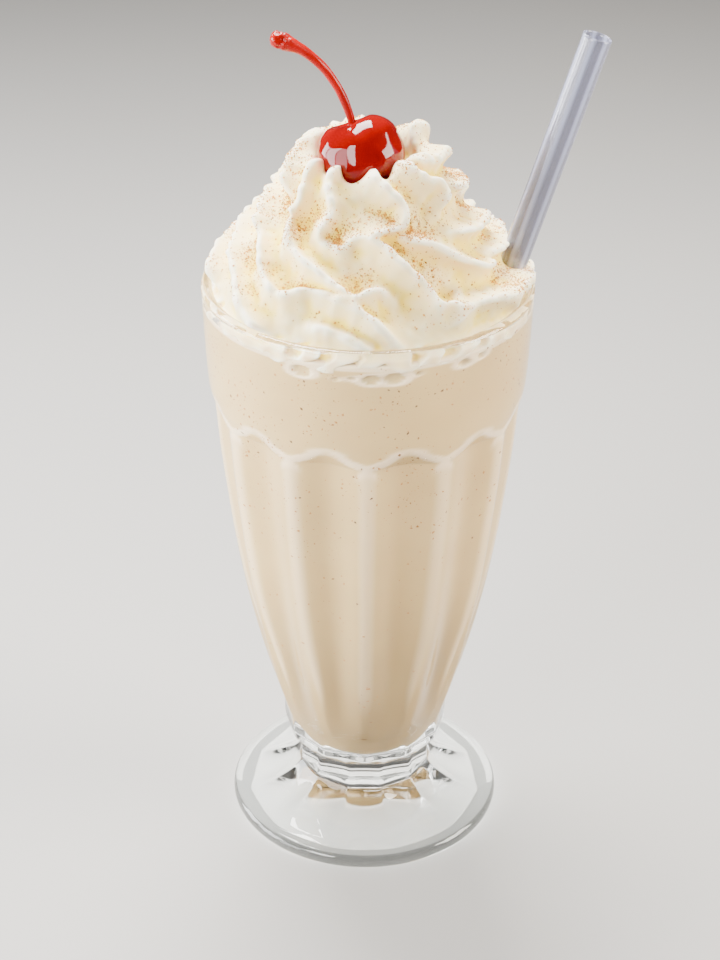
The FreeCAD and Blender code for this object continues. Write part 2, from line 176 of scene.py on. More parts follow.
def make_piece(
    name: str, points: np.ndarray, *faces: np.ndarray, smooth: bool = True,
) -> bpy.types.Object:
    """A mesh object from millimetre points and faces.

    Args:
        name: The piece's name.
        points: Corner points in millimetres.
        *faces: Arrays of corner numbers, one row for each face.
        smooth: Whether the faces are shaded smooth.

    Returns:
        The object, linked to the scene.
    """
    mesh = bpy.data.meshes.new(name)
    corners = np.concatenate([f.ravel() for f in faces]).astype(np.int32)
    sides = np.concatenate([np.full(len(f), f.shape[1]) for f in faces])
    mesh.vertices.add(len(points))
    mesh.vertices.foreach_set("co", (np.asarray(points, np.float64) * MM).astype(np.float32).ravel())
    mesh.loops.add(len(corners))
    mesh.loops.foreach_set("vertex_index", corners)
    mesh.polygons.add(len(sides))
    mesh.polygons.foreach_set("loop_start", (np.cumsum(sides) - sides).astype(np.int32))
    mesh.polygons.foreach_set("use_smooth", np.full(len(sides), smooth))
    mesh.update(calc_edges=True)
    mesh.validate()
    piece = bpy.data.objects.new(name, mesh)
    bpy.context.scene.collection.objects.link(piece)
    return piece


def points_of(piece: bpy.types.Object) -> np.ndarray:
    """A piece's corner points.

    Args:
        piece: The piece to read.

    Returns:
        Points in millimetres, one row each.
    """
    flat = np.empty(len(piece.data.vertices) * 3, np.float32)
    piece.data.vertices.foreach_get("co", flat)
    return flat.reshape(-1, 3).astype(float) / MM


def set_points(piece: bpy.types.Object, points: np.ndarray) -> None:
    """Moves a piece's corner points to new places, in millimetres."""
    piece.data.vertices.foreach_set("co", (points * MM).astype(np.float32).ravel())
    piece.data.update()


def normals_of(piece: bpy.types.Object) -> np.ndarray:
    """The outward direction at each corner point.

    Args:
        piece: The piece to read.

    Returns:
        Unit directions, one row each.
    """
    flat = np.empty(len(piece.data.vertices) * 3, np.float32)
    piece.data.vertices.foreach_get("normal", flat)
    return flat.reshape(-1, 3).astype(float)


def hollows(piece: bpy.types.Object, rounds: int) -> np.ndarray:
    """How far each corner point lies below its smoothed surroundings.

    Args:
        piece: The piece to measure.
        rounds: Rounds of smoothing; more rounds look further around.

    Returns:
        Depths in millimetres, positive in a hollow and negative on an edge.
    """
    count = len(piece.data.edges)
    pairs = np.empty(count * 2, np.int32)
    piece.data.edges.foreach_get("vertices", pairs)
    a, b = pairs[::2], pairs[1::2]
    points = points_of(piece)
    total = len(points)
    near = np.maximum(np.bincount(a, minlength=total) + np.bincount(b, minlength=total), 1)
    calm = points.copy()
    for _ in range(rounds):
        sums = [np.bincount(a, calm[b, k], total) + np.bincount(b, calm[a, k], total) for k in range(3)]
        calm = np.stack(sums, axis=-1) / near[:, None]
    return np.einsum("ij,ij->i", calm - points, normals_of(piece))


def paint(piece: bpy.types.Object, name: str, values: np.ndarray) -> None:
    """Stores one number at each corner point, for the material to read."""
    layer = piece.data.attributes.get(name) or piece.data.attributes.new(name, "FLOAT", "POINT")
    layer.data.foreach_set("value", np.asarray(values, np.float32))


def ring_faces(rings: int, around: int) -> np.ndarray:
    """Quads between rings of equally many points, closed around.

    Args:
        rings: How many rings there are.
        around: Points on each ring.

    Returns:
        Corner numbers, four to a row, facing outwards when the rings climb an outer wall.
    """
    j, i = np.meshgrid(np.arange(rings - 1), np.arange(around), indexing="ij")
    nxt = (i + 1) % around
    low, high = j * around, (j + 1) * around
    return np.stack([low + i, low + nxt, high + nxt, high + i], axis=-1).reshape(-1, 4)


def closed_rings(name: str, rings: np.ndarray) -> bpy.types.Object:
    """A closed mesh from rings of points, with a fan of small faces over each end.

    Args:
        name: The piece's name.
        rings: Points in millimetres, as rings x points x 3.

    Returns:
        The closed piece, facing outwards.
    """
    count, around = rings.shape[:2]
    i, last = np.arange(around), (count - 1) * around
    nxt, middle = (i + 1) % around, np.full(around, count * around)
    quads = ring_faces(count, around)
    under = np.stack([nxt, i, middle], axis=-1)
    fans = np.concatenate((under, np.stack([last + i, last + nxt, middle + 1], axis=-1)))
    points = np.concatenate((rings.reshape(-1, 3), [rings[0].mean(axis=0), rings[-1].mean(axis=0)]))
    a, b, c, d = (points[quads[:, k]] for k in range(4))
    half = np.einsum("ij,ij->", a, np.cross(b - a, c - a))
    if half + np.einsum("ij,ij->", a, np.cross(c - a, d - a)) < 0.0:
        quads, fans = quads[:, ::-1], fans[:, ::-1]
    return make_piece(name, points, quads, fans)


def tube_rings(line: np.ndarray, widths: np.ndarray, squash: np.ndarray) -> np.ndarray:
    """Rings of a round rod along a line.

    Args:
        line: Points of the middle line, in millimetres.
        widths: The rod's radius at each point.
        squash: Radius factors, one row for each point and one column for each step around.

    Returns:
        Points as rings x around x 3.
    """
    ahead = np.gradient(line, axis=0)
    ahead /= np.linalg.norm(ahead, axis=1)[:, None]
    side = np.cross(ahead, (0.0, 1.0, 0.0))
    side /= np.linalg.norm(side, axis=1)[:, None]
    over = np.cross(ahead, side)
    turn = np.linspace(0, TAU, squash.shape[1], endpoint=False)
    reach = widths[:, None] * squash
    out = np.cos(turn)[None, :, None] * side[:, None, :] + np.sin(turn)[None, :, None] * over[:, None, :]
    return line[:, None, :] + reach[:, :, None] * out


def pick_places(
    piece: bpy.types.Object, count: int, weigh: Weigh, rng: np.random.Generator, crowd: Numbers = 1.0,
) -> tuple[np.ndarray, np.ndarray]:
    """Random places on a piece's surface.

    Args:
        piece: The piece to scatter over.
        count: How many places.
        weigh: Gives each face's share from its middles and normals.
        rng: The random numbers to draw from.
        crowd: How thickly the places lie at each corner point.

    Returns:
        Points in millimetres and the outward directions there.
    """
    mesh = piece.data
    mesh.calc_loop_triangles()
    corners = np.empty(len(mesh.loop_triangles) * 3, np.int32)
    mesh.loop_triangles.foreach_get("vertices", corners)
    a, b, c = (points_of(piece)[corners.reshape(-1, 3)[:, k]] for k in range(3))
    across = np.cross(b - a, c - a)
    area = np.linalg.norm(across, axis=1)
    normals = across / np.maximum(area, 1e-9)[:, None]
    thick = np.broadcast_to(crowd, len(mesh.vertices))[corners].reshape(-1, 3).mean(axis=1)
    share = area * weigh((a + b + c) / 3, normals) * thick
    face = rng.choice(len(area), count, p=share / share.sum())
    u, v = rng.random(count), rng.random(count)
    over = u + v > 1
    u[over], v[over] = 1 - u[over], 1 - v[over]
    return a[face] + (b - a)[face] * u[:, None] + (c - a)[face] * v[:, None], normals[face]


def make_grains(
    name: str, points: np.ndarray, normals: np.ndarray, sizes: np.ndarray, flat: float,
    rng: np.random.Generator,
) -> bpy.types.Object:
    """Many small uneven grains as one mesh.

    Args:
        name: The piece's name.
        points: The grains' middles in millimetres.
        normals: The direction that each grain is flattened along.
        sizes: The grains' half lengths in millimetres.
        flat: Thickness of a grain as a share of its length.
        rng: The random numbers to draw from.

    Returns:
        The piece, with a number called tone on each grain.
    """
    count = len(points)
    corner = np.array([(1, 0, 0), (0, 1, 0), (-1, 0, 0), (0, -1, 0), (0, 0, 1), (0, 0, -1)], float)
    upper, lower = [(0, 1, 4), (1, 2, 4), (2, 3, 4), (3, 0, 4)], [(1, 0, 5), (2, 1, 5), (3, 2, 5), (0, 3, 5)]
    face = np.array(upper + lower)
    side = np.cross(normals, rng.normal(size=(count, 3)))
    side /= np.linalg.norm(side, axis=1)[:, None]
    over = np.cross(normals, side)
    shape = corner[None] * rng.uniform(0.55, 1.35, (count, 6, 1)) * sizes[:, None, None]
    shape[:, :, 1] *= rng.uniform(0.45, 1.0, (count, 1))
    shape[:, :, 2] *= flat
    spots = points[:, None] + shape[..., :1] * side[:, None] + shape[..., 1:2] * over[:, None]
    spots = spots + shape[..., 2:] * normals[:, None]
    faces = (face[None] + 6 * np.arange(count)[:, None, None]).reshape(-1, 3)
    piece = make_piece(name, spots.reshape(-1, 3), faces, smooth=False)
    paint(piece, "tone", np.repeat(rng.random(count), 6))
    return piece


# ------------------------------------------------------------------ material helpers

class Relief(Enum):
    """Named scales of fine surface relief, as noise waves per metre."""

    WHIPPED = 2600.0
    DRINK = 900.0
    SKIN = 700.0
    PLASTIC = 500.0


@dataclass(frozen=True)
class Grain:
    """Fine uneven relief and the roughness that goes with it.

    Attributes:
        relief: How fine it is.
        strength: Strength of the bump.
        depth: Depth of the bump in metres.
        rough: Mean roughness.
        spread: How far the grain moves the roughness either way.
    """

    relief: Relief
    strength: float
    depth: float
    rough: float
    spread: float


@dataclass(frozen=True)
class Tint:
    """A colour as plain linear light."""

    red: float
    green: float
    blue: float

    def rgba(self) -> tuple[float, float, float, float]:
        """The colour with full cover, as a socket takes it."""
        return (self.red, self.green, self.blue, 1.0)


class Surface:
    """One material under construction: its node tree and its shader."""

    def __init__(self, name: str) -> None:
        """Starts a material with a Principled shader.

        Args:
            name: The material's name.
        """
        self.material = bpy.data.materials.new(name)
        self.material.use_nodes = True
        self.nodes = self.material.node_tree.nodes
        self.links = self.material.node_tree.links
        self.shader = self.nodes["Principled BSDF"]

    def fix(self, **values: float | tuple) -> "Surface":
        """Sets plain values on the shader's own sockets.

        Args:
            **values: Values by socket name, with _ for a space.

        Returns:
            This surface.
        """
        for name, value in values.items():
            self.shader.inputs[name.replace("_", " ")].default_value = value
        return self

    def attribute(self, name: str) -> Socket:
        """Reads a number painted on the mesh.

        Args:
            name: The name it was painted under.

        Returns:
            The number's output.
        """
        node = self.nodes.new("ShaderNodeAttribute")
        node.attribute_name = name
        return node.outputs["Fac"]

    def mix(self, share: Socket, first: Tint | Socket, second: Tint | Socket) -> Socket:
        """Blends two colours.

        Args:
            share: Output that gives the second colour's share.
            first: Tint or output of the first colour.
            second: Tint or output of the second colour.

        Returns:
            The blended colour's output.
        """
        node = self.nodes.new("ShaderNodeMix")
        node.data_type = "RGBA"
        self.links.new(share, node.inputs["Factor"])
        for value, socket in ((first, node.inputs[6]), (second, node.inputs[7])):
            if isinstance(value, Tint):
                socket.default_value = value.rgba()
            else:
                self.links.new(value, socket)
        return node.outputs[2]

    def remap(self, value: Socket, low: float, high: float, start: float = 0.0, end: float = 1.0) -> Socket:
        """Stretches a number from one range to another, held at both ends.

        Args:
            value: Output that gives the number.
            low: Lower end of its range.
            high: Upper end of its range.
            start: What the lower end becomes.
            end: What the upper end becomes.

        Returns:
            The stretched number's output.
        """
        node = self.nodes.new("ShaderNodeMapRange")
        for name, number in (("From Min", low), ("From Max", high), ("To Min", start), ("To Max", end)):
            node.inputs[name].default_value = number
        self.links.new(value, node.inputs["Value"])
        return node.outputs["Result"]

    def mottle(
        self, first: Tint, second: Tint, scale: float, spread: float, detail: float = 3.0, tall: float = 1.0,
    ) -> Socket:
        """Two colours in soft patches over the object's own space.

        Args:
            first: The one colour.
            second: The other colour.
            scale: Waves per metre.
            spread: How far from the middle of the noise either colour is pure.
            detail: Layers of finer noise.
            tall: Factor on the waves along Z.

        Returns:
            The colour's output.
        """
        space = self.nodes.new("ShaderNodeTexCoord")
        scaled = self.nodes.new("ShaderNodeMapping")
        scaled.inputs["Scale"].default_value = (1.0, 1.0, tall)
        node = self.nodes.new("ShaderNodeTexNoise")
        node.inputs["Scale"].default_value = scale
        node.inputs["Detail"].default_value = detail
        self.links.new(space.outputs["Object"], scaled.inputs["Vector"])
        self.links.new(scaled.outputs["Vector"], node.inputs["Vector"])
        return self.mix(self.remap(node.outputs["Fac"], 0.5 - spread, 0.5 + spread), first, second)

    def grain(self, grain: Grain) -> "Surface":
        """Adds the shared fine grain to roughness and normal.

        Args:
            grain: What the grain is like.

        Returns:
            This surface.
        """
        group = self.nodes.new("ShaderNodeGroup")
        group.node_tree = fine_grain()
        group.inputs["Scale"].default_value = grain.relief.value
        bump = self.nodes.new("ShaderNodeBump")
        bump.inputs["Strength"].default_value = grain.strength
        bump.inputs["Distance"].default_value = grain.depth
        self.links.new(group.outputs["Height"], bump.inputs["Height"])
        self.links.new(bump.outputs["Normal"], self.shader.inputs["Normal"])
        least, most = grain.rough - grain.spread, grain.rough + grain.spread
        rough = self.remap(group.outputs["Mask"], 0.3, 0.7, least, most)
        self.links.new(rough, self.shader.inputs["Roughness"])
        return self

    def colour(self, output: Socket) -> "Surface":
        """Feeds a colour output to the shader."""
        self.links.new(output, self.shader.inputs["Base Color"])
        return self

    def pass_lamps(self, tint: Tint) -> "Surface":
        """Lets the lamps shine through clear material, a little dimmed.

        Args:
            tint: How much of a lamp's light each surface lets through.

        Returns:
            This surface.
        """
        clear = self.nodes.new("ShaderNodeBsdfTransparent")
        clear.inputs["Color"].default_value = tint.rgba()
        path, mixer = self.nodes.new("ShaderNodeLightPath"), self.nodes.new("ShaderNodeMixShader")
        self.links.new(path.outputs["Is Shadow Ray"], mixer.inputs["Fac"])
        self.links.new(self.shader.outputs["BSDF"], mixer.inputs[1])
        self.links.new(clear.outputs["BSDF"], mixer.inputs[2])
        self.links.new(mixer.outputs["Shader"], self.nodes["Material Output"].inputs["Surface"])
        return self

    def dress(self, piece: bpy.types.Object) -> None:
        """Puts the material on a piece as its only one."""
        piece.data.materials.clear()
        piece.data.materials.append(self.material)


def fine_grain() -> bpy.types.NodeTree:
    """The shared group of fine uneven relief, built once.

    Returns:
        A group with a Scale input, a Height output and a Mask output.
    """
    known = bpy.data.node_groups.get("fine_grain")
    if known:
        return known
    tree = bpy.data.node_groups.new("fine_grain", "ShaderNodeTree")
    scale = tree.interface.new_socket("Scale", in_out="INPUT", socket_type="NodeSocketFloat")
    scale.default_value = 800.0
    tree.interface.new_socket("Height", in_out="OUTPUT", socket_type="NodeSocketFloat")
    tree.interface.new_socket("Mask", in_out="OUTPUT", socket_type="NodeSocketFloat")
    entry, leave = tree.nodes.new("NodeGroupInput"), tree.nodes.new("NodeGroupOutput")
    space = tree.nodes.new("ShaderNodeTexCoord")
    fine, broad = tree.nodes.new("ShaderNodeTexNoise"), tree.nodes.new("ShaderNodeTexNoise")
    slower = tree.nodes.new("ShaderNodeMath")
    slower.operation = "MULTIPLY"
    slower.inputs[1].default_value = 0.22
    both = tree.nodes.new("ShaderNodeMath")
    both.operation = "ADD"
    for texture in (fine, broad):
        texture.inputs["Detail"].default_value = 3.0
        tree.links.new(space.outputs["Object"], texture.inputs["Vector"])
    tree.links.new(entry.outputs["Scale"], fine.inputs["Scale"])
    tree.links.new(entry.outputs["Scale"], slower.inputs[0])
    tree.links.new(slower.outputs[0], broad.inputs["Scale"])
    tree.links.new(fine.outputs["Fac"], both.inputs[0])
    tree.links.new(broad.outputs["Fac"], both.inputs[1])
    tree.links.new(both.outputs[0], leave.inputs["Height"])
    tree.links.new(broad.outputs["Fac"], leave.inputs["Mask"])
    return tree


# ------------------------------------------------------------------ finishes

@dataclass(frozen=True)
class ClearGlass:
    """Clear pressed glass."""

    tint: Tint = Tint(0.97, 0.985, 0.98)
    lamp_share: Tint = Tint(0.90, 0.92, 0.92)

    def surface(self) -> Surface:
        """Makes the material.

        Returns:
            The surface, ready to dress a piece.
        """
        return Surface("clear_glass").fix(
            Base_Color=self.tint.rgba(), Roughness=0.0, IOR=1.5, Transmission_Weight=1.0,
        ).pass_lamps(self.lamp_share)


@dataclass(frozen=True)
class ThickShake:
    """Thick vanilla milkshake: warm cream white, with a painted highlight along the glass's ridges and arches
    and painted shade darker low down.
    """

    shade: Tint = Tint(0.485, 0.33, 0.134)
    light: Tint = Tint(0.55, 0.385, 0.165)
    # low: painted shade, darker towards the bottom of the glass.
    low: Tint = Tint(0.30, 0.195, 0.075)
    # edge: colour of the painted highlight along the glass's ridges and arches.
    edge: Tint = Tint(0.78, 0.63, 0.44)
    grain: Grain = Grain(Relief.DRINK, 0.12, 0.0002, 0.5, 0.06)

    def surface(self) -> Surface:
        """Makes the material.

        Returns:
            The surface, ready to dress a piece.
        """
        look = Surface("vanilla_milkshake").fix(
            IOR=1.36, Subsurface_Weight=0.2, Subsurface_Radius=(1.0, 0.6, 0.3), Subsurface_Scale=0.003,
            Specular_IOR_Level=0.35,
        )
        # The depth attribute mixes in painted shade, darker towards the bottom of the glass.
        lower = look.mix(look.attribute("depth"), look.mottle(self.shade, self.light, 28.0, 0.15), self.low)
        # The edge attribute mixes in the painted highlight along the glass's ridges and arches.
        return look.colour(look.mix(look.attribute("edge"), lower, self.edge)).grain(self.grain)


@dataclass(frozen=True)
class LooseGrains:
    """Small loose grains in two tones.

    Attributes:
        name: The material's name.
        light: Colour of most of them.
        dark: Colour of the darkest.
        start: Share of the grains that have the lighter colour only.
        rough: Mean roughness.
    """

    name: str
    light: Tint
    dark: Tint
    start: float
    rough: float

    def surface(self) -> Surface:
        """Makes the material.

        Returns:
            The surface, ready to dress a piece.
        """
        look = Surface(self.name).fix(Specular_IOR_Level=0.2)
        tone = look.mix(look.remap(look.attribute("tone"), self.start, 1.0), self.light, self.dark)
        return look.colour(tone).grain(Grain(Relief.DRINK, 0.1, 0.0001, self.rough, 0.05))


@dataclass(frozen=True)
class SoftCream:
    """Soft whipped cream, stained by the cherry, with a painted highlight whiter on its edges and painted
    shade warmer in its folds.
    """

    shade: Tint = Tint(0.94, 0.73, 0.34)
    light: Tint = Tint(0.97, 0.79, 0.42)
    # Painted shade: warm yellow in the cream's hollows.
    painted_fold_shade: Tint = Tint(0.98, 0.73, 0.09)
    # lip: painted highlight, whiter on the raised edges.
    lip: Tint = Tint(0.97, 0.90, 0.72)
    soak: Tint = Tint(0.70, 0.52, 0.28)
    stain: Tint = Tint(0.90, 0.22, 0.14)
    grain: Grain = Grain(Relief.WHIPPED, 0.15, 0.0001, 0.55, 0.08)

    def surface(self) -> Surface:
        """Makes the material.

        Returns:
            The surface, ready to dress a piece.
        """
        look = Surface("whipped_cream").fix(
            IOR=1.38, Subsurface_Weight=0.4, Subsurface_Radius=(1.0, 0.7, 0.35), Subsurface_Scale=0.002,
            Specular_IOR_Level=0.3,
        )
        tone = look.mottle(self.shade, self.light, 90.0, 0.15)
        # The first two layers are painted shade in the hollows and a painted highlight on the raised edges;
        # soak and stain are the cream's own colour.
        layers = (("painted_fold_shade", self.painted_fold_shade), ("lip", self.lip), ("soak", self.soak), ("stain", self.stain))
        for name, tint in layers:
            tone = look.mix(look.attribute(name), tone, tint)
        return look.colour(tone).grain(self.grain)


@dataclass(frozen=True)
class CandiedSkin:
    """Candied cherry skin: deep clear red under a wet gloss."""

    shade: Tint = Tint(0.13, 0.0001, 0.0002)
    light: Tint = Tint(0.17, 0.0001, 0.0002)
    grain: Grain = Grain(Relief.SKIN, 0.03, 0.0002, 0.06, 0.02)

    def surface(self) -> Surface:
        """Makes the material.

        Returns:
            The surface, ready to dress a piece.
        """
        look = Surface("candied_cherry").fix(
            IOR=1.36, Subsurface_Weight=0.08, Subsurface_Radius=(1.0, 0.08, 0.05), Subsurface_Scale=0.002,
            Specular_IOR_Level=0.5,
        )
        return look.colour(look.mottle(self.shade, self.light, 160.0, 0.2)).grain(self.grain)


@dataclass(frozen=True)
class DyedStem:
    """Dyed stem: bright red, a little glossy."""

    shade: Tint = Tint(0.24, 0.0001, 0.0002)
    light: Tint = Tint(0.34, 0.0004, 0.0003)
    grain: Grain = Grain(Relief.SKIN, 0.15, 0.0002, 0.28, 0.08)

    def surface(self) -> Surface:
        """Makes the material.

        Returns:
            The surface, ready to dress a piece.
        """
        look = Surface("dyed_stem").fix(
            Subsurface_Weight=0.1, Subsurface_Radius=(1.0, 0.1, 0.05), Subsurface_Scale=0.001, IOR=1.30,
        )
        return look.colour(look.mottle(self.shade, self.light, 300.0, 0.2, tall=0.3)).grain(self.grain)


@dataclass(frozen=True)
class MilkyPlastic:
    """Milky clear plastic with painted stripes of light and shade along it."""

    # dark and light: the painted shade and painted light of the stripes.
    dark: Tint = Tint(0.17, 0.165, 0.20)
    light: Tint = Tint(0.46, 0.48, 0.58)
    lamp_share: Tint = Tint(0.8, 0.8, 0.85)
    grain: Grain = Grain(Relief.PLASTIC, 0.01, 0.0001, 0.12, 0.03)

    def surface(self) -> Surface:
        """Makes the material.

        Returns:
            The surface, ready to dress a piece.
        """
        look = Surface("milky_plastic").fix(IOR=1.45, Transmission_Weight=0.6, Specular_IOR_Level=0.5)
        look.pass_lamps(self.lamp_share)
        # The stripes are painted light and shade along the straw.
        return look.colour(look.mix(look.attribute("light_and_shade_stripe"), self.dark, self.light)).grain(self.grain)


@dataclass(frozen=True)
class StudioPaper:
    """Plain pale paper."""

    shade: Tint = Tint(0.36, 0.35, 0.337)
    light: Tint = Tint(0.38, 0.37, 0.356)

    def surface(self) -> Surface:
        """Makes the material.

        Returns:
            The surface, ready to dress a piece.
        """
        look = Surface("studio_paper").fix(Roughness=0.6, Specular_IOR_Level=0.3)
        return look.colour(look.mottle(self.shade, self.light, 2.0, 0.2, detail=2.0))


VANILLA_SPECKS = LooseGrains("vanilla_specks", Tint(0.42, 0.19, 0.05), Tint(0.09, 0.045, 0.018), 0.6, 0.6)
GROUND_NUTMEG = LooseGrains("ground_nutmeg", Tint(0.66, 0.31, 0.045), Tint(0.27, 0.10, 0.015), 0.55, 0.7)


# ------------------------------------------------------------------ soda glass

@dataclass
class SodaGlass:
    """The footed glass: a beaded foot, a faceted neck, twelve panels and a plain band."""

    panels: int = 12
    steps_in_panel: int = 24
    foot_radius: float = 41.0
    bead: float = 2.4
    hollow_radius: float = 34.0
    hollow_depth: float = 3.4
    foot_flute: float = 1.3
    neck_radius: float = 20.0
    flare_width: float = 16.4
    neck_low: float = 14.5
    neck_top: float = 23.7
    cusp_level: float = 139.8
    arch_lean: float = 0.80
    panel_hollow: float = 1.8
    inner_share: float = 0.9
    rim_radius: float = 46.0
    rim_wall: float = 3.1
    height: float = 176.8
    ridge_softness: float = 0.9
    heel: Pairs = ((23.7, 20.0), (25.4, 22.6), (28.0, 24.5), (34.0, 24.9), (40.0, 26.6), (50.0, 29.6))
    bowl: Pairs = ((64.0, 33.15), (80.0, 36.4), (95.0, 38.8), (110.0, 40.7), (124.0, 42.25), (139.8, 43.5))
    band: Pairs = (
        (120.0, 44.6), (136.0, 44.0), (140.5, 43.6), (143.0, 43.8), (145.5, 44.4), (149.5, 44.9),
        (163.0, 45.6), (175.3, 46.0),
    )
    inside: Pairs = (
        (24.6, 8.5), (25.2, 10.6), (27.0, 12.8), (29.6, 14.8), (34.0, 17.8), (40.0, 20.9), (50.0, 24.0),
        (64.0, 27.9), (80.0, 32.3), (95.0, 35.2), (110.0, 37.3), (124.0, 38.95), (137.0, 40.3),
        (149.0, 41.4), (159.0, 42.0), (175.3, 42.9),
    )

    def around(self) -> np.ndarray:
        """The directions of the points round one ring, in radians."""
        return np.linspace(0.0, TAU, self.panels * self.steps_in_panel, endpoint=False)

    def facet(self, half_turn: bool) -> np.ndarray:
        """Radius factor of a polygon with a ridge between each two panels.

        Args:
            half_turn: Whether the ridges stand half a panel on.

        Returns:
            One factor for each point round a ring, 1 at the ridges.
        """
        wide = TAU / self.panels
        off = np.mod(self.around() - (wide / 2 if half_turn else 0.0), wide) - wide / 2
        factor = math.cos(wide / 2) / np.cos(off)
        reach = np.arange(-4, 5)
        weight = np.exp(-0.5 * (reach / self.ridge_softness) ** 2)
        weight /= weight.sum()
        return sum(w * np.roll(factor, k) for k, w in zip(reach, weight))

    def dish(self) -> np.ndarray:
        """How hollow each panel is round one ring: 1 at its middle and 0 at its ridges."""
        return np.sin(self.around() * self.panels / 2) ** 2

    def inner_radius(self, z: Numbers) -> np.ndarray:
        """Mean radius of the glass's inside at a level."""
        levels, radii = zip(*self.inside)
        return smooth_line(z, levels, radii)

    def inner_wall(self, levels: np.ndarray) -> np.ndarray:
        """Radius of the inside round each level, where the panels and the step show through.

        Args:
            levels: Rising heights in millimetres.

        Returns:
            One row for each level, with one radius for each direction of around().
        """
        even = np.arange(26.0, 177.0, 1.0)
        outer = np.array([self.bowl_radius(z) for z in even])
        mean = outer.mean(axis=1)
        reach = np.arange(-14, 15)
        weight = np.exp(-0.5 * (reach / 6.0) ** 2)
        padded = np.pad(mean, 14, mode="reflect", reflect_type="odd")
        steady = np.convolve(padded, weight / weight.sum(), mode="valid")
        fade = smooth_step(even, 30.0, 42.0) * (1 - smooth_step(even, 158.0, 170.0))
        relief = (outer - steady[:, None]) * (self.inner_share * fade)[:, None]
        rows = [np.interp(levels, even, relief[:, i]) for i in range(relief.shape[1])]
        return self.inner_radius(levels)[:, None] + np.array(rows).T

    def bowl_radius(self, z: float) -> np.ndarray:
        """Outside radius round one level of the bowl, panels, arches and band together.

        Args:
            z: The level in millimetres.

        Returns:
            One radius for each point round a ring.
        """
        levels, radii = zip(*(self.heel + self.bowl))
        corner = float(smooth_line(z, levels, radii)) + max(0.0, z - self.cusp_level) * self.arch_lean
        turned = float(smooth_step(z, self.neck_top + 0.8, self.neck_top + 4.2))
        shape = (1 - turned) * self.facet(True) + turned * self.facet(False)
        hollow = self.panel_hollow * float(smooth_step(z, 34.0, 60.0))
        panel = corner * shape - hollow * self.dish()
        levels, radii = zip(*self.band)
        return soft_min(panel, np.full_like(panel, float(smooth_line(z, levels, radii))), 0.45)

    def foot_path(self) -> list[tuple[float, float, float]]:
        """The foot's outline, from under the foot up to the neck's top.

        Returns:
            Radius, level and share of facets at each point.
        """
        ball = (self.hollow_radius ** 2 + self.hollow_depth ** 2) / (2 * self.hollow_depth)
        path = []
        for r in np.linspace(1.0, self.hollow_radius, 24):
            path.append((r, self.hollow_depth - ball + math.sqrt(ball * ball - r * r), 0.0))
        middle = self.foot_radius - self.bead
        path.append((self.hollow_radius + 0.5, 0.0, 0.0))
        for turn in np.linspace(-90.0, 90.0, 15):
            a = math.radians(turn)
            path.append((middle + self.bead * math.cos(a), self.bead * (1 + math.sin(a)), 0.0))
        path.append((middle - 0.9, 2 * self.bead - 0.12, 0.0))
        path.append((middle - 1.7, 2 * self.bead - 0.05, 0.25))
        flare_r = (self.neck_radius, 22.5, 28.0, 33.0, middle - 2.2)
        flare_z = (self.neck_low, 12.1, 9.1, 7.0, 5.5)
        for r in np.linspace(middle - 2.2, self.neck_radius + 0.3, 26):
            path.append((r, float(smooth_line(r, flare_r, flare_z)), 1.0))
        for z in np.linspace(self.neck_low + 0.3, self.neck_top - 0.3, 9):
            path.append((self.neck_radius, z, 1.0))
        return path

    def rings(self) -> np.ndarray:
        """All rings of the closed glass, from under the foot, up outside and down inside.

        Returns:
            Points in millimetres, as rings x around x 3.
        """
        turn, facet = self.around(), self.facet(True)
        flute = self.foot_flute * np.abs(np.cos(turn * self.panels / 2))
        rings = []
        for r, z, share in self.foot_path():
            slope = math.sin(math.pi * min(1.0, max(0.0, (r - self.neck_radius) / self.flare_width)))
            rings.append((r * (1 - share + share * facet), z - flute * slope * (share == 1.0)))
        lip = self.height - self.rim_wall / 2
        levels = np.concatenate((
            np.arange(self.neck_top, 30.0, 0.3), np.arange(30.0, 130.0, 1.0),
            np.arange(130.0, 150.0, 0.3), np.arange(150.0, lip, 1.5),
        ))
        rings += [(self.bowl_radius(float(z)), float(z)) for z in levels]
        middle = self.rim_radius - self.rim_wall / 2
        for turn_up in np.linspace(0.0, 180.0, 15):
            a = math.radians(turn_up)
            rings.append((middle + self.rim_wall / 2 * math.cos(a), lip + self.rim_wall / 2 * math.sin(a)))
        floor = self.inside[0][0]
        levels = np.concatenate((np.linspace(floor, 32.0, 20), np.arange(33.0, lip - 0.5, 1.0)))
        rings += [(row, float(z)) for row, z in zip(self.inner_wall(levels)[::-1], levels[::-1])]
        rings += [(r, floor) for r in (6.0, 2.0)]
        return round_rings(turn, rings)

    def build(self) -> bpy.types.Object:
        """Makes and dresses the glass.

        Returns:
            The glass as one piece.
        """
        piece = closed_rings("soda_glass", self.rings())
        ClearGlass().surface().dress(piece)
        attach(piece, "root")
        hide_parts("glass")
        return piece


# ------------------------------------------------------------------ milkshake

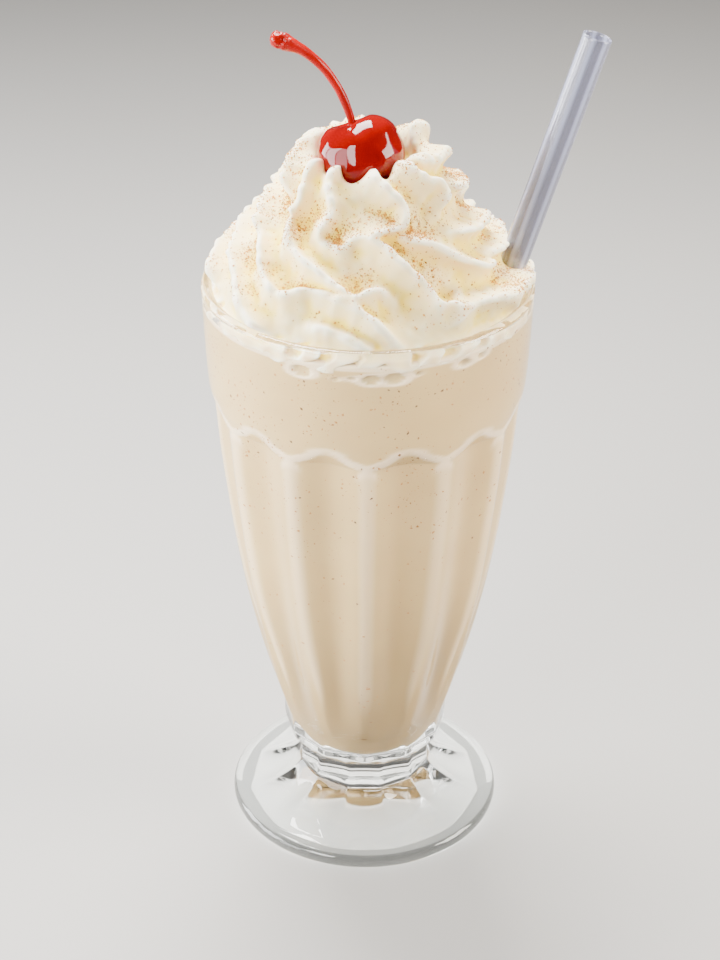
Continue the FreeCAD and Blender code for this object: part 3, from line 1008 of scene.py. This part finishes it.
@dataclass
class Milkshake:
    """The drink: it fills the glass up to its level, with fine specks and a few bubbles at the wall."""

    glass: SodaGlass
    level: float = 172.0
    overlap: float = 0.12
    bubbles: tuple[Triple, ...] = (
        (-113.5, 168.9, 2.9), (-88.6, 168.0, 2.5), (-80.8, 168.2, 2.9), (-54.5, 169.3, 1.9),
        (-101.0, 167.9, 0.8), (-95.5, 168.4, 0.7), (-72.5, 169.1, 0.8), (-47.0, 169.9, 1.4),
    )
    bubble_depth: float = 1.1
    speck_count: int = 2600

    def rings(self) -> np.ndarray:
        """Rings of the drink, from the floor of the glass to the middle of its top.

        Returns:
            Points in millimetres, as rings x around x 3.
        """
        turn = self.glass.around()
        floor = self.glass.inside[0][0] - self.overlap
        levels = np.concatenate((
            np.linspace(25.0, 34.0, 18), np.arange(35.0, 134.0, 1.5),
            np.arange(134.0, 158.0, 0.6), np.arange(158.0, self.level, 0.35),
        ))
        wall = self.glass.inner_wall(levels) + self.overlap
        rings = [(r, floor) for r in (2.0, 5.0, 8.2)]
        for reach, z in zip(wall, levels):
            for azimuth, middle, size in self.bubbles:
                along = (np.degrees(turn) - azimuth + 180.0) % 360.0 - 180.0
                off = np.hypot(np.radians(along) * reach / size, (z - middle) / (0.62 * size))
                reach = reach - self.bubble_depth * (1 - smooth_step(off, 0.72, 1.0))
            rings.append((reach, z))
        for share in (0.985, 0.9, 0.6, 0.3, 0.05):
            rings.append((wall[-1] * share, self.level + 0.1 * share))
        return round_rings(turn, rings)

    def build(self) -> list[bpy.types.Object]:
        """Makes and dresses the drink and its specks.

        Returns:
            The drink and the specks, in that order.
        """
        rings = self.rings()
        drink = closed_rings("vanilla_drink", rings)
        # edge: painted highlight along the glass's ridges and arches.
        paint(drink, "edge", self.edges(rings, -hollows(drink, 8)))
        # depth: painted shade, darker towards the bottom of the glass.
        paint(drink, "depth", 0.95 * (1 - smooth_step(points_of(drink)[:, 2], 30.0, 100.0)))
        ThickShake().surface().dress(drink)
        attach(drink, "root")
        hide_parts("milkshake")
        return [drink, self.specks(drink)]

    def edges(self, rings: np.ndarray, sharp: np.ndarray) -> np.ndarray:
        """The painted highlight: how much paler the drink is painted along the glass's ridges and arches, for
        the light that the glass gathers and throws there.

        Args:
            rings: The drink's rings of points.
            sharp: How far each corner point stands out from its surroundings.

        Returns:
            One share for each corner point.
        """
        reach = np.hypot(rings[..., 0], rings[..., 1])
        # Painted highlight in bands along the ridges, and in a line along the arches.
        ridge = reach - 0.5 * (np.roll(reach, 7, axis=1) + np.roll(reach, -5, axis=1))
        high = rings[..., 2].ravel()
        along = smooth_step(ridge, 0.75, 1.7).ravel() * smooth_step(high, 30.0, 44.0)
        arch_highlight = smooth_step(sharp[:high.size], 0.07, 0.17) * smooth_step(high, 134.0, 139.0)
        return np.concatenate((np.maximum(0.45 * along, 0.8 * arch_highlight), [0.0, 0.0]))

    def specks(self, drink: bpy.types.Object) -> bpy.types.Object:
        """Fine specks of vanilla and spice held in the drink at the glass.

        Args:
            drink: The drink that holds them.

        Returns:
            The specks as one piece.
        """
        rng = np.random.default_rng(Seed.SPECKS)

        def weigh(middles: np.ndarray, normals: np.ndarray) -> np.ndarray:
            """More of them near the top, and in loose groups.

            Args:
                middles: The faces' middles in millimetres.
                normals: The faces' outward directions.

            Returns:
                One share for each face.
            """
            high = 0.35 + smooth_step(middles[:, 2], 90.0, 160.0)
            groups = 1 + ripple(Seed.SPECK_GROUPS, 8, *(middles.T / 22.0))
            return high * np.maximum(groups, 0.1) * (np.abs(normals[:, 2]) < 0.8) * (middles[:, 2] > 32.0)

        points, normals = pick_places(drink, self.speck_count, weigh, rng)
        sizes = 0.15 + 0.40 * rng.random(self.speck_count) ** 3
        piece = make_grains("vanilla_specks", points + normals * 0.02, normals, sizes, 0.35, rng)
        VANILLA_SPECKS.surface().dress(piece)
        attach(piece, "root")
        return piece


# ------------------------------------------------------------------ whipped cream

@dataclass(frozen=True)
class Ridge:
    """One raised edge of piped cream, drawn on the mound.

    Attributes:
        route: Points as direction in degrees and distance down the slope in millimetres.
        height: How far the edge stands out at its highest, in millimetres.
        lean: How far its tip is pushed to its left as seen going down, in millimetres.
    """

    route: Pairs
    height: float = 3.4
    lean: float = 0.8


@dataclass
class WhippedCream:
    """The piped cream: a mound with a nest for the cherry, and raised wavy edges all over it."""

    glass: SodaGlass
    around: int = 660
    spacing: float = 0.42
    mound: Pairs = (
        (0.4, 202.6), (7.0, 202.9), (10.8, 206.2), (12.8, 210.4), (15.2, 211.8), (17.2, 210.4), (20.0, 206.4),
        (22.6, 201.6), (25.4, 198.0), (29.0, 194.2), (32.0, 189.8), (34.6, 186.4), (38.0, 183.0),
        (41.0, 179.6), (42.4, 176.0), (42.3, 172.0), (42.0, 168.4), (38.0, 167.9), (0.4, 167.9),
    )
    crest: float = 15.2
    lift: Pairs = (
        (-180.0, 1.0), (-135.0, -0.8), (-90.0, 0.2), (-50.0, 0.6), (0.0, 3.7), (90.0, 1.2), (180.0, 1.0),
    )
    edge: float = 1.9
    blunt: float = 0.75
    sink: float = 1.6
    tiers: int = 5
    contact: float = 169.6
    cherry: Triple = (-2.0, -2.0, 213.4)
    dust_count: int = 15000
    voxel: float = 0.42
    front: tuple[Ridge, ...] = (
        Ridge(((-157, -2), (-150, 4), (-144, 9), (-149, 15)), 5.0, 0.9),
        Ridge(((-130, -3), (-125, 3), (-117, 9), (-120, 14), (-124, 17)), 5.6, 1.2),
        Ridge(((-124, 16), (-116, 19), (-106, 20), (-98, 17), (-92, 14.5)), 3.4, 0.6),
        Ridge(((-92, -3), (-88, 1), (-78, 5), (-70, 9), (-71, 12), (-84, 13.5), (-90, 17), (-82, 21),
               (-68, 30), (-62, 38), (-54, 38), (-48, 34)), 6.0, 1.5),
        Ridge(((-62, -3), (-54, 1), (-44, 5), (-33, 8), (-38, 13)), 5.6, 1.4),
        Ridge(((-68, 16), (-54, 20), (-40, 26), (-26, 31), (-18, 29)), 5.4, -1.0),
        Ridge(((-147, 14), (-142, 18), (-132, 23), (-115, 27), (-104, 31), (-95, 34), (-86, 31),
               (-80, 33)), 6.0, 1.5),
        Ridge(((-166, 22), (-150, 27), (-140, 33), (-128, 36), (-114, 33), (-102, 35), (-90, 39),
               (-78, 46)), 5.4, 1.2),
        Ridge(((-166, 33), (-156, 37), (-140, 43), (-128, 46)), 5.0, 1.0),
        Ridge(((-216, -2), (-200, 0), (-186, 2), (-172, 5), (-160, 11)), 6.0, -1.4),
        Ridge(((-216, 9), (-202, 12), (-187, 14), (-172, 18), (-160, 24)), 6.0, -1.8),
        Ridge(((-214, 22), (-200, 25), (-185, 27), (-170, 31), (-160, 36)), 6.0, -1.8),
        Ridge(((-212, 34), (-197, 37), (-183, 39), (-170, 43)), 5.6, -1.4),
        Ridge(((-60, 41), (-44, 38), (-30, 41), (-22, 45)), 4.4, -0.8),
        Ridge(((-112, 41), (-98, 43), (-88, 47)), 3.4, 0.8),
    )

    def slope(self) -> tuple[np.ndarray, np.ndarray]:
        """The mound's outline, evenly divided, and the distance of each point down from the crest.

        Returns:
            Points as radius and level, and their distances.
        """
        corners = np.array(self.mound)
        bend = travelled(np.linalg.norm(np.diff(corners, axis=0), axis=1))
        fine = np.linspace(0.0, bend[-1], int(bend[-1] / self.spacing))
        line = np.stack([smooth_line(fine, bend, corners[:, k]) for k in (0, 1)], axis=-1)
        start = fine[np.argmin(np.abs(line[:, 0] - self.crest) + (fine > bend[8]) * 99.0)]
        return line, fine - start

    def place(self, azimuth: np.ndarray, down: np.ndarray) -> np.ndarray:
        """Points of the bare mound.

        Args:
            azimuth: Directions in radians.
            down: Distances down from the crest, in millimetres.

        Returns:
            Points in millimetres, with a last axis of 3.
        """
        line, along = self.slope()
        r = np.interp(down, along, line[:, 0])
        z = np.interp(down, along, line[:, 1])
        way, up = zip(*self.lift)
        turn = (np.degrees(azimuth) + 180.0) % 360.0 - 180.0
        z = z + np.interp(turn, way, up) * (1 - smooth_step(down, 0.0, 26.0)) * smooth_step(r, 6.0, 14.0)
        return np.stack([r * np.cos(azimuth), r * np.sin(azimuth), z], axis=-1)

    def sides(self) -> list[Ridge]:
        """Edges on the sides and the back, where the piping goes on in the same rhythm.

        Returns:
            Three edges for each tier.
        """
        rng = np.random.default_rng(Seed.SIDE_EDGES)
        ridges = []
        for tier in range(self.tiers):
            for k in range(3):
                first = -38.0 + 62.0 * k + 14.0 * (tier % 2) + rng.uniform(-6.0, 6.0)
                u = np.linspace(0.0, 1.0, 6)
                wave = rng.uniform(0.8, 1.8) * np.sin(u * rng.uniform(4.0, 6.5))
                down = -2.0 + 10.0 * tier + 9.0 * u ** 1.3 + wave
                path = first + rng.uniform(54.0, 70.0) * u
                ridges.append(Ridge(tuple(zip(path, down)), rng.uniform(5.4, 6.8), rng.uniform(-1.9, -1.1)))
        return ridges

    def raise_edges(self, points: np.ndarray, normals: np.ndarray) -> np.ndarray:
        """Pulls the thin edges out of the mound.

        Args:
            points: Points of the bare mound, one row each.
            normals: Outward directions at those points.

        Returns:
            The moved points.
        """
        rng = np.random.default_rng(Seed.EDGE_HEIGHTS)
        push = np.zeros(len(points))
        shove = np.zeros_like(points)
        for ridge in self.front + tuple(self.sides()):
            knots = np.array(ridge.route, float)
            reach = travelled(np.hypot(np.diff(knots[:, 0]) * 0.5, np.diff(knots[:, 1])))
            fine = np.arange(0.0, reach[-1], 0.4)
            azimuth = np.radians(smooth_line(fine, reach, knots[:, 0]))
            spine = self.place(azimuth, smooth_line(fine, reach, knots[:, 1]))
            ahead = np.gradient(spine, axis=0)
            ahead /= np.linalg.norm(ahead, axis=1)[:, None] + 1e-9
            share = fine / reach[-1]
            tall = ridge.height * smooth_step(share, -0.16, 0.16)
            tall = tall * (1 - 0.75 * smooth_step(share, 0.86, 1.02))
            tall *= 1 + 0.05 * ripple(int(rng.integers(1 << 20)), 4, fine / 4.5)
            inside = (points > spine.min(axis=0) - 11) & (points < spine.max(axis=0) + 11)
            near = np.flatnonzero(np.all(inside, axis=1))
            if not len(near):
                continue
            here = points[near]
            squared = (here ** 2).sum(1)[:, None] + (spine ** 2).sum(1)[None, :] - 2 * here @ spine.T
            close = squared.argmin(axis=1)
            off = np.sqrt(np.maximum(squared[np.arange(len(near)), close], 0.0))
            grow = np.exp(-np.maximum(off - self.blunt, 0.0) / self.edge)
            push[near] += (tall[close] * grow) ** 2
            side = np.cross(normals[near], ahead[close])
            shove[near] += side * (ridge.lean * grow ** 1.5 * tall[close] / ridge.height)[:, None]
        return points + normals * (np.sqrt(push) - self.sink)[:, None] + shove

    def build(self) -> bpy.types.Object:
        """Makes and dresses the cream.

        Returns:
            The cream as one piece.
        """
        along = self.slope()[1]
        turn = np.linspace(0.0, TAU, self.around, endpoint=False)
        azimuth, down = np.meshgrid(turn, along)
        rings = self.place(azimuth, down)
        bare = make_piece("mound", rings.reshape(-1, 3), ring_faces(len(along), self.around)[:, ::-1])
        points = points_of(bare)
        normals = normals_of(bare)
        bpy.data.objects.remove(bare)
        outer = smooth_step(down.ravel(), -9.0, -4.0) * (1 - smooth_step(down.ravel(), 50.0, 56.0))
        moved = points + (self.raise_edges(points, normals) - points) * outer[:, None]
        swell = 0.35 * ripple(Seed.CREAM_SWELL, 10, *(points.T / 9.0))
        swell = swell + 0.12 * ripple(Seed.CREAM_GRAIN, 12, *(points.T / 3.0))
        moved += normals * swell[:, None] * outer[:, None]
        piece = closed_rings("piped_cream", moved.reshape(rings.shape))
        self.remesh(piece)
        self.fit_glass(piece)
        # Painted shade: the cream painted warm yellow in its hollows.
        paint(piece, "painted_fold_shade", smooth_step(hollows(piece, 60) + 0.6 * hollows(piece, 12), 0.05, 0.9))
        # lip: painted highlight, whiter on the cream's raised edges.
        paint(piece, "lip", smooth_step(-hollows(piece, 24), -0.10, 0.65))
        points = points_of(piece)
        way = np.degrees(np.arctan2(points[:, 1], points[:, 0]))
        wet = 0.5 + 0.3 * ripple(Seed.SOAKED_EDGE, 7, way / 9.0)
        paint(piece, "soak", np.clip(wet, 0.1, 0.9) * (1 - smooth_step(points[:, 2], 172.5, 176.5)))
        away = np.linalg.norm(points - np.array(self.cherry), axis=1)
        blot = 0.5 + 0.5 * ripple(Seed.CHERRY_BLOT, 6, *(points.T / 5.0))
        paint(piece, "stain", np.clip(blot * (1 - smooth_step(away, 11.4, 14.6)), 0.0, 1.0))
        SoftCream().surface().dress(piece)
        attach(piece, "root")
        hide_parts("whipped_cream")
        return piece

    def dust(self, cream: bpy.types.Object) -> bpy.types.Object:
        """Ground nutmeg, dusted over the cream from above.

        Args:
            cream: The cream that it lies on.

        Returns:
            The dust as one piece.
        """
        rng = np.random.default_rng(Seed.DUST)

        def weigh(middles: np.ndarray, normals: np.ndarray) -> np.ndarray:
            """Most where the cream faces up, in drifting patches, and none under the cherry.

            Args:
                middles: The faces' middles in millimetres.
                normals: The faces' outward directions.

            Returns:
                One share for each face.
            """
            r = np.hypot(middles[:, 0], middles[:, 1])
            patch = 0.5 + 0.6 * ripple(Seed.DUST_DRIFTS, 9, *(middles.T / 14.0))
            up = np.maximum(normals[:, 2], 0.0) ** 1.2 + 0.12
            patch = np.maximum(patch, 0.16) ** 1.5
            return patch * up * smooth_step(middles[:, 2], 178.0, 184.0) * smooth_step(r, 10.0, 14.0)

        crowd = 0.35 + 2.6 * smooth_step(hollows(cream, 30), 0.1, 1.0)
        points, normals = pick_places(cream, self.dust_count, weigh, rng, crowd)
        sizes = 0.14 + 0.26 * rng.random(self.dust_count) ** 3
        piece = make_grains("nutmeg_dust", points + normals * 0.04, normals, sizes, 0.7, rng)
        GROUND_NUTMEG.surface().dress(piece)
        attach(piece, "root")
        return piece

    def remesh(self, piece: bpy.types.Object) -> None:
        """Turns the folded surface into one even skin.

        Args:
            piece: The cream.
        """
        change = piece.modifiers.new("even", "REMESH")
        change.mode = "VOXEL"
        change.voxel_size = self.voxel * MM
        change.use_smooth_shade = True
        soft = piece.modifiers.new("soft", "CORRECTIVE_SMOOTH")
        soft.factor, soft.iterations, soft.use_only_smooth = 0.5, 3, True
        graph = bpy.context.evaluated_depsgraph_get()
        whole = bpy.data.meshes.new_from_object(piece.evaluated_get(graph))
        piece.modifiers.clear()
        piece.data = whole

    def fit_glass(self, piece: bpy.types.Object) -> None:
        """Presses the cream against the glass wherever it lies below the rim.

        Args:
            piece: The cream.
        """
        points = points_of(piece)
        r = np.hypot(points[:, 0], points[:, 1])
        turn = np.degrees(np.arctan2(points[:, 1], points[:, 0]))
        lobes = 0.5 + 0.5 * np.sin(np.radians(turn) * 17.0 + 1.3 * ripple(Seed.CONTACT_LOBES, 4, turn / 60.0))
        contact = self.contact + 1.5 * (1 - lobes) + 0.5 * ripple(Seed.CONTACT_LEVEL, 4, turn / 24.0)
        wall = self.glass.inner_radius(points[:, 2]) + 0.15 + smooth_step(points[:, 2], 175.5, 179.0) * 3.0
        touch = smooth_step(r, 34.0, 39.0) * (1 - smooth_step(points[:, 2], 173.0, 177.0))
        touch *= smooth_step(ripple(Seed.CONTACT_GAPS, 6, turn / 11.0, points[:, 2] / 5.0), -0.9, -0.2)
        spread = np.minimum(r, wall) + touch * np.maximum(wall - r, 0.0)
        spread -= 1.6 * smooth_step(r, 30.0, 38.0) * (1 - smooth_step(points[:, 2] - contact, -0.5, 0.5))
        points[:, :2] *= (spread / np.maximum(r, 1e-6))[:, None]
        set_points(piece, points)


# ------------------------------------------------------------------ cherry

@dataclass
class Cherry:
    """The glossy cherry: two soft lobes round a dimple, leaning back on the cream."""

    across: float = 23.2
    place: Triple = (-2.0, -2.0, 213.4)
    top: float = 9.4
    base: float = 10.2
    dimple: float = 3.2
    tilt: float = 26.0
    turn: float = 140.0
    around: int = 128

    def build(self) -> bpy.types.Object:
        """Makes and dresses the cherry.

        Returns:
            The cherry as one piece.
        """
        t, b, d = self.top, self.base, self.dimple
        below = (-b, -0.985 * b, -0.90 * b, -0.62 * b, -0.12 * b)
        heights = below + (0.45 * t, 0.84 * t, t, t - 0.16 * d, t - 0.5 * d, t - d)
        shares = (0.02, 0.24, 0.50, 0.84, 1.0, 0.94, 0.72, 0.45, 0.32, 0.20, 0.03)
        bend = travelled(np.hypot(np.diff(heights), np.diff(shares) * self.across / 2))
        fine = np.linspace(0.0, bend[-1], 84)
        turn = np.linspace(0.0, TAU, self.around, endpoint=False)
        high, wide = smooth_line(fine, bend, heights), smooth_line(fine, bend, shares) * self.across / 2
        tall = smooth_step(high, -4.0, 8.0)[:, None]
        groove = 0.55 * np.exp(-((turn[None, :] - 4.2) / 0.35) ** 2) * tall
        share = wide[:, None] / self.across * 2
        reach = wide[:, None] * (1 + 0.018 * np.cos(2 * turn + 0.6)[None, :] * tall) - groove * share
        x, y = reach * np.cos(turn), reach * np.sin(turn)
        z = high[:, None] + 0.5 * np.cos(2 * turn + 0.4)[None, :] * tall * share
        bumps = 0.07 * ripple(Seed.CHERRY_SKIN, 8, x / 6, y / 6, z / 6)
        rings = np.stack([x * (1 + bumps / 11), y * (1 + bumps / 11), z + bumps], axis=-1)
        spin = leaning(self.tilt, self.turn)
        piece = closed_rings("glossy_cherry", rings @ spin.T + np.array(self.place))
        CandiedSkin().surface().dress(piece)
        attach(piece, "root")
        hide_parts("cherry")
        return piece


@dataclass
class CherryStem:
    """The cherry's thin curved stem with its swollen end."""

    root: Triple = (-3.41, -0.82, 217.17)
    lean: float = 4.0
    climb: float = 22.2
    reach: float = 19.3
    rise: float = 27.4
    end_share: float = 1.1
    widths: Pairs = (
        (0.0, 2.1), (0.12, 2.1), (0.35, 2.35), (0.66, 2.45), (0.84, 3.0), (0.93, 3.9), (1.0, 4.3),
        (1.055, 4.1), (1.085, 3.2), (1.1, 1.0),
    )

    def build(self) -> bpy.types.Object:
        """Makes and dresses the stem.

        Returns:
            The stem as one piece.
        """
        share = np.linspace(0.0, self.end_share, 120)
        x = self.root[0] - (2 * share * (1 - share) * self.lean + share ** 2 * self.reach)
        z = self.root[2] + 2 * share * (1 - share) * self.climb + share ** 2 * self.rise
        line = np.stack([x, np.full_like(x, self.root[1]), z], axis=-1)
        widths = smooth_line(share, *zip(*self.widths)) / 2
        turn = np.linspace(0, TAU, 36, endpoint=False)
        around = (np.cos(turn)[None, :], np.sin(turn)[None, :])
        squash = 1 + 0.03 * ripple(Seed.STEM_SHAPE, 6, share[:, None] * 9, around[0] * 0.6, around[1] * 0.6)
        rough = smooth_step(share, 0.88, 1.0)[:, None]
        lumps = ripple(Seed.STEM_END, 9, share[:, None] * 22, around[0] * 1.6, around[1] * 1.6)
        squash += 0.13 * rough * lumps
        piece = closed_rings("cherry_stalk", tube_rings(line, widths, squash))
        DyedStem().surface().dress(piece)
        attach(piece, "root")
        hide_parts("cherry_stem")
        return piece


# ------------------------------------------------------------------ straw

@dataclass
class Straw:
    """The clear straw with faint ribs along it, leaning on the rim."""

    across: float = 8.0
    wall: float = 0.35
    length: float = 223.0
    tilt: float = 17.1
    turn: float = 4.4
    foot: Triple = (-5.9, -2.0, 32.0)
    ribs: int = 7
    rib: float = 0.06
    cut: float = 0.12
    around: int = 192

    def build(self) -> bpy.types.Object:
        """Makes and dresses the straw.

        Returns:
            The straw as one piece.
        """
        turn = np.linspace(0.0, TAU, self.around, endpoint=False)
        rib = self.rib * (0.5 - 0.5 * np.cos(self.ribs * turn))
        outer = self.across / 2 - rib
        inner = self.across / 2 - self.wall - self.rib + rib * 0.5
        top = self.length - self.cut
        rings = [(outer, z) for z in (self.cut, *np.linspace(1.0, self.length - 1.0, 120), top)]
        rings.append(((outer + inner) / 2, self.length))
        rings += [(inner, z) for z in (top, *np.linspace(self.length - 1.0, 1.0, 120), self.cut)]
        rings.append(((outer + inner) / 2, 0.0))
        tube = round_rings(turn, rings) @ leaning(self.tilt, self.turn).T
        points = (tube + np.array(self.foot)).reshape(-1, 3)
        last, i = (len(rings) - 1) * self.around, np.arange(self.around)
        nxt = (i + 1) % self.around
        closing = np.stack([last + i, last + nxt, nxt, i], axis=-1)
        faces = np.concatenate((ring_faces(len(rings), self.around), closing))
        piece = make_piece("clear_straw", points, faces)
        # Painted stripes of light and shade round the straw, as many as its ribs.
        light_and_shade_stripe = 0.5 + 0.35 * np.cos(self.ribs * turn + 0.8) + 0.15 * np.cos(2 * self.ribs * turn + 2.0)
        paint(piece, "light_and_shade_stripe", np.tile(light_and_shade_stripe, len(rings)))
        MilkyPlastic().surface().dress(piece)
        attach(piece, "root")
        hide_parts("straw")
        return piece


# ------------------------------------------------------------------ studio

@dataclass
class Studio:
    """The pale floor, the soft lights and the camera."""

    eye: Triple = (-1.9, -549.5, 436.6)
    pitch: float = 59.43
    roll: float = 0.331
    lens: float = 82.4
    sensor: float = 36.0
    floor_radius: float = 1500.0

    def camera(self) -> None:
        """Puts the camera at the picture's angle."""
        data = bpy.data.cameras.new("camera")
        data.lens, data.sensor_width, data.sensor_fit = self.lens, self.sensor, "VERTICAL"
        data.sensor_height = self.sensor
        data.clip_start, data.clip_end = 0.01, 20.0
        holder = bpy.data.objects.new("camera", data)
        holder.location = Vector(self.eye) * MM
        tip = Euler((math.radians(self.pitch), 0.0, 0.0)).to_matrix()
        roll = Euler((0.0, 0.0, math.radians(self.roll))).to_matrix()
        holder.rotation_euler = (tip @ roll).to_euler()
        bpy.context.scene.collection.objects.link(holder)
        bpy.context.scene.camera = holder

    def light(
        self, name: str, place: Triple, aim: Triple, size: tuple[float, float], power: float, colour: Triple,
    ) -> None:
        """One rectangular soft light.

        Args:
            name: The light's name.
            place: Where it hangs, in metres.
            aim: The point it faces, in metres.
            size: Its width and height in metres.
            power: Its power in watts.
            colour: Its colour as linear light.
        """
        data = bpy.data.lights.new(name, "AREA")
        data.shape = "RECTANGLE"
        data.size, data.size_y = size
        data.energy = power
        data.color = colour
        holder = bpy.data.objects.new(name, data)
        holder.visible_camera = False
        holder.location = place
        holder.rotation_euler = (Vector(aim) - Vector(place)).to_track_quat("-Z", "Y").to_euler()
        bpy.context.scene.collection.objects.link(holder)

    def floor(self) -> None:
        """A plain pale floor."""
        turn = np.linspace(0.0, TAU, 180, endpoint=False)
        around = np.stack([np.cos(turn), np.sin(turn), 0 * turn], axis=-1) * self.floor_radius
        piece = make_piece("studio_floor", around, np.arange(turn.size)[None])
        StudioPaper().surface().dress(piece)

    def world(self) -> None:
        """Soft even light from all round."""
        world = bpy.data.worlds.new("studio")
        world.use_nodes = True
        tree = world.node_tree
        glow = tree.nodes["Background"]
        glow.inputs["Color"].default_value = (1.0, 0.98, 0.95, 1.0)
        glow.inputs["Strength"].default_value = 0.10
        wall, path = tree.nodes.new("ShaderNodeBackground"), tree.nodes.new("ShaderNodeLightPath")
        wall.inputs["Color"].default_value = (0.62, 0.61, 0.59, 1.0)
        mixer = tree.nodes.new("ShaderNodeMixShader")
        tree.links.new(path.outputs["Is Camera Ray"], mixer.inputs["Fac"])
        tree.links.new(glow.outputs["Background"], mixer.inputs[1])
        tree.links.new(wall.outputs["Background"], mixer.inputs[2])
        tree.links.new(mixer.outputs["Shader"], tree.nodes["World Output"].inputs["Surface"])
        bpy.context.scene.world = world

    def build(self) -> None:
        """Sets up the whole studio."""
        self.camera()
        self.floor()
        self.world()
        cool, warm, amber = (0.97, 0.985, 1.0), (1.0, 0.98, 0.95), (1.0, 0.94, 0.85)
        for k, (y, power) in enumerate(((-0.46, 5.0), (-0.12, 12.0), (0.22, 14.0))):
            self.light(f"window_{k}", (-0.80, y, 0.30), (0.0, y * 0.3, 0.15), (0.30, 0.46), power, cool)
        self.light("overhead", (-0.06, 0.20, 0.60), (0.0, 0.0, 0.2), (0.26, 0.26), 14.0, warm)
        self.light("front", (-0.50, -0.62, 0.58), (0.0, 0.0, 0.2), (0.34, 0.34), 11.0, warm)
        self.light("fill", (0.75, -0.10, 0.45), (0.0, 0.0, 0.18), (0.4, 0.4), 17.0, amber)


def main() -> None:
    """Builds every piece and the studio."""
    logging.basicConfig(level=logging.INFO, format="%(name)s: %(message)s")
    glass = SodaGlass()
    pieces = [glass.build()]
    pieces += Milkshake(glass).build()
    cream = WhippedCream(glass)
    pieces.append(cream.build())
    pieces.append(cream.dust(pieces[-1]))
    pieces.append(Cherry().build())
    pieces.append(CherryStem().build())
    pieces.append(Straw().build())
    Studio().build()
    for piece in pieces:
        log.info("%s: %d faces", piece.name, len(piece.data.polygons))


if __name__ == "__main__":
    main()
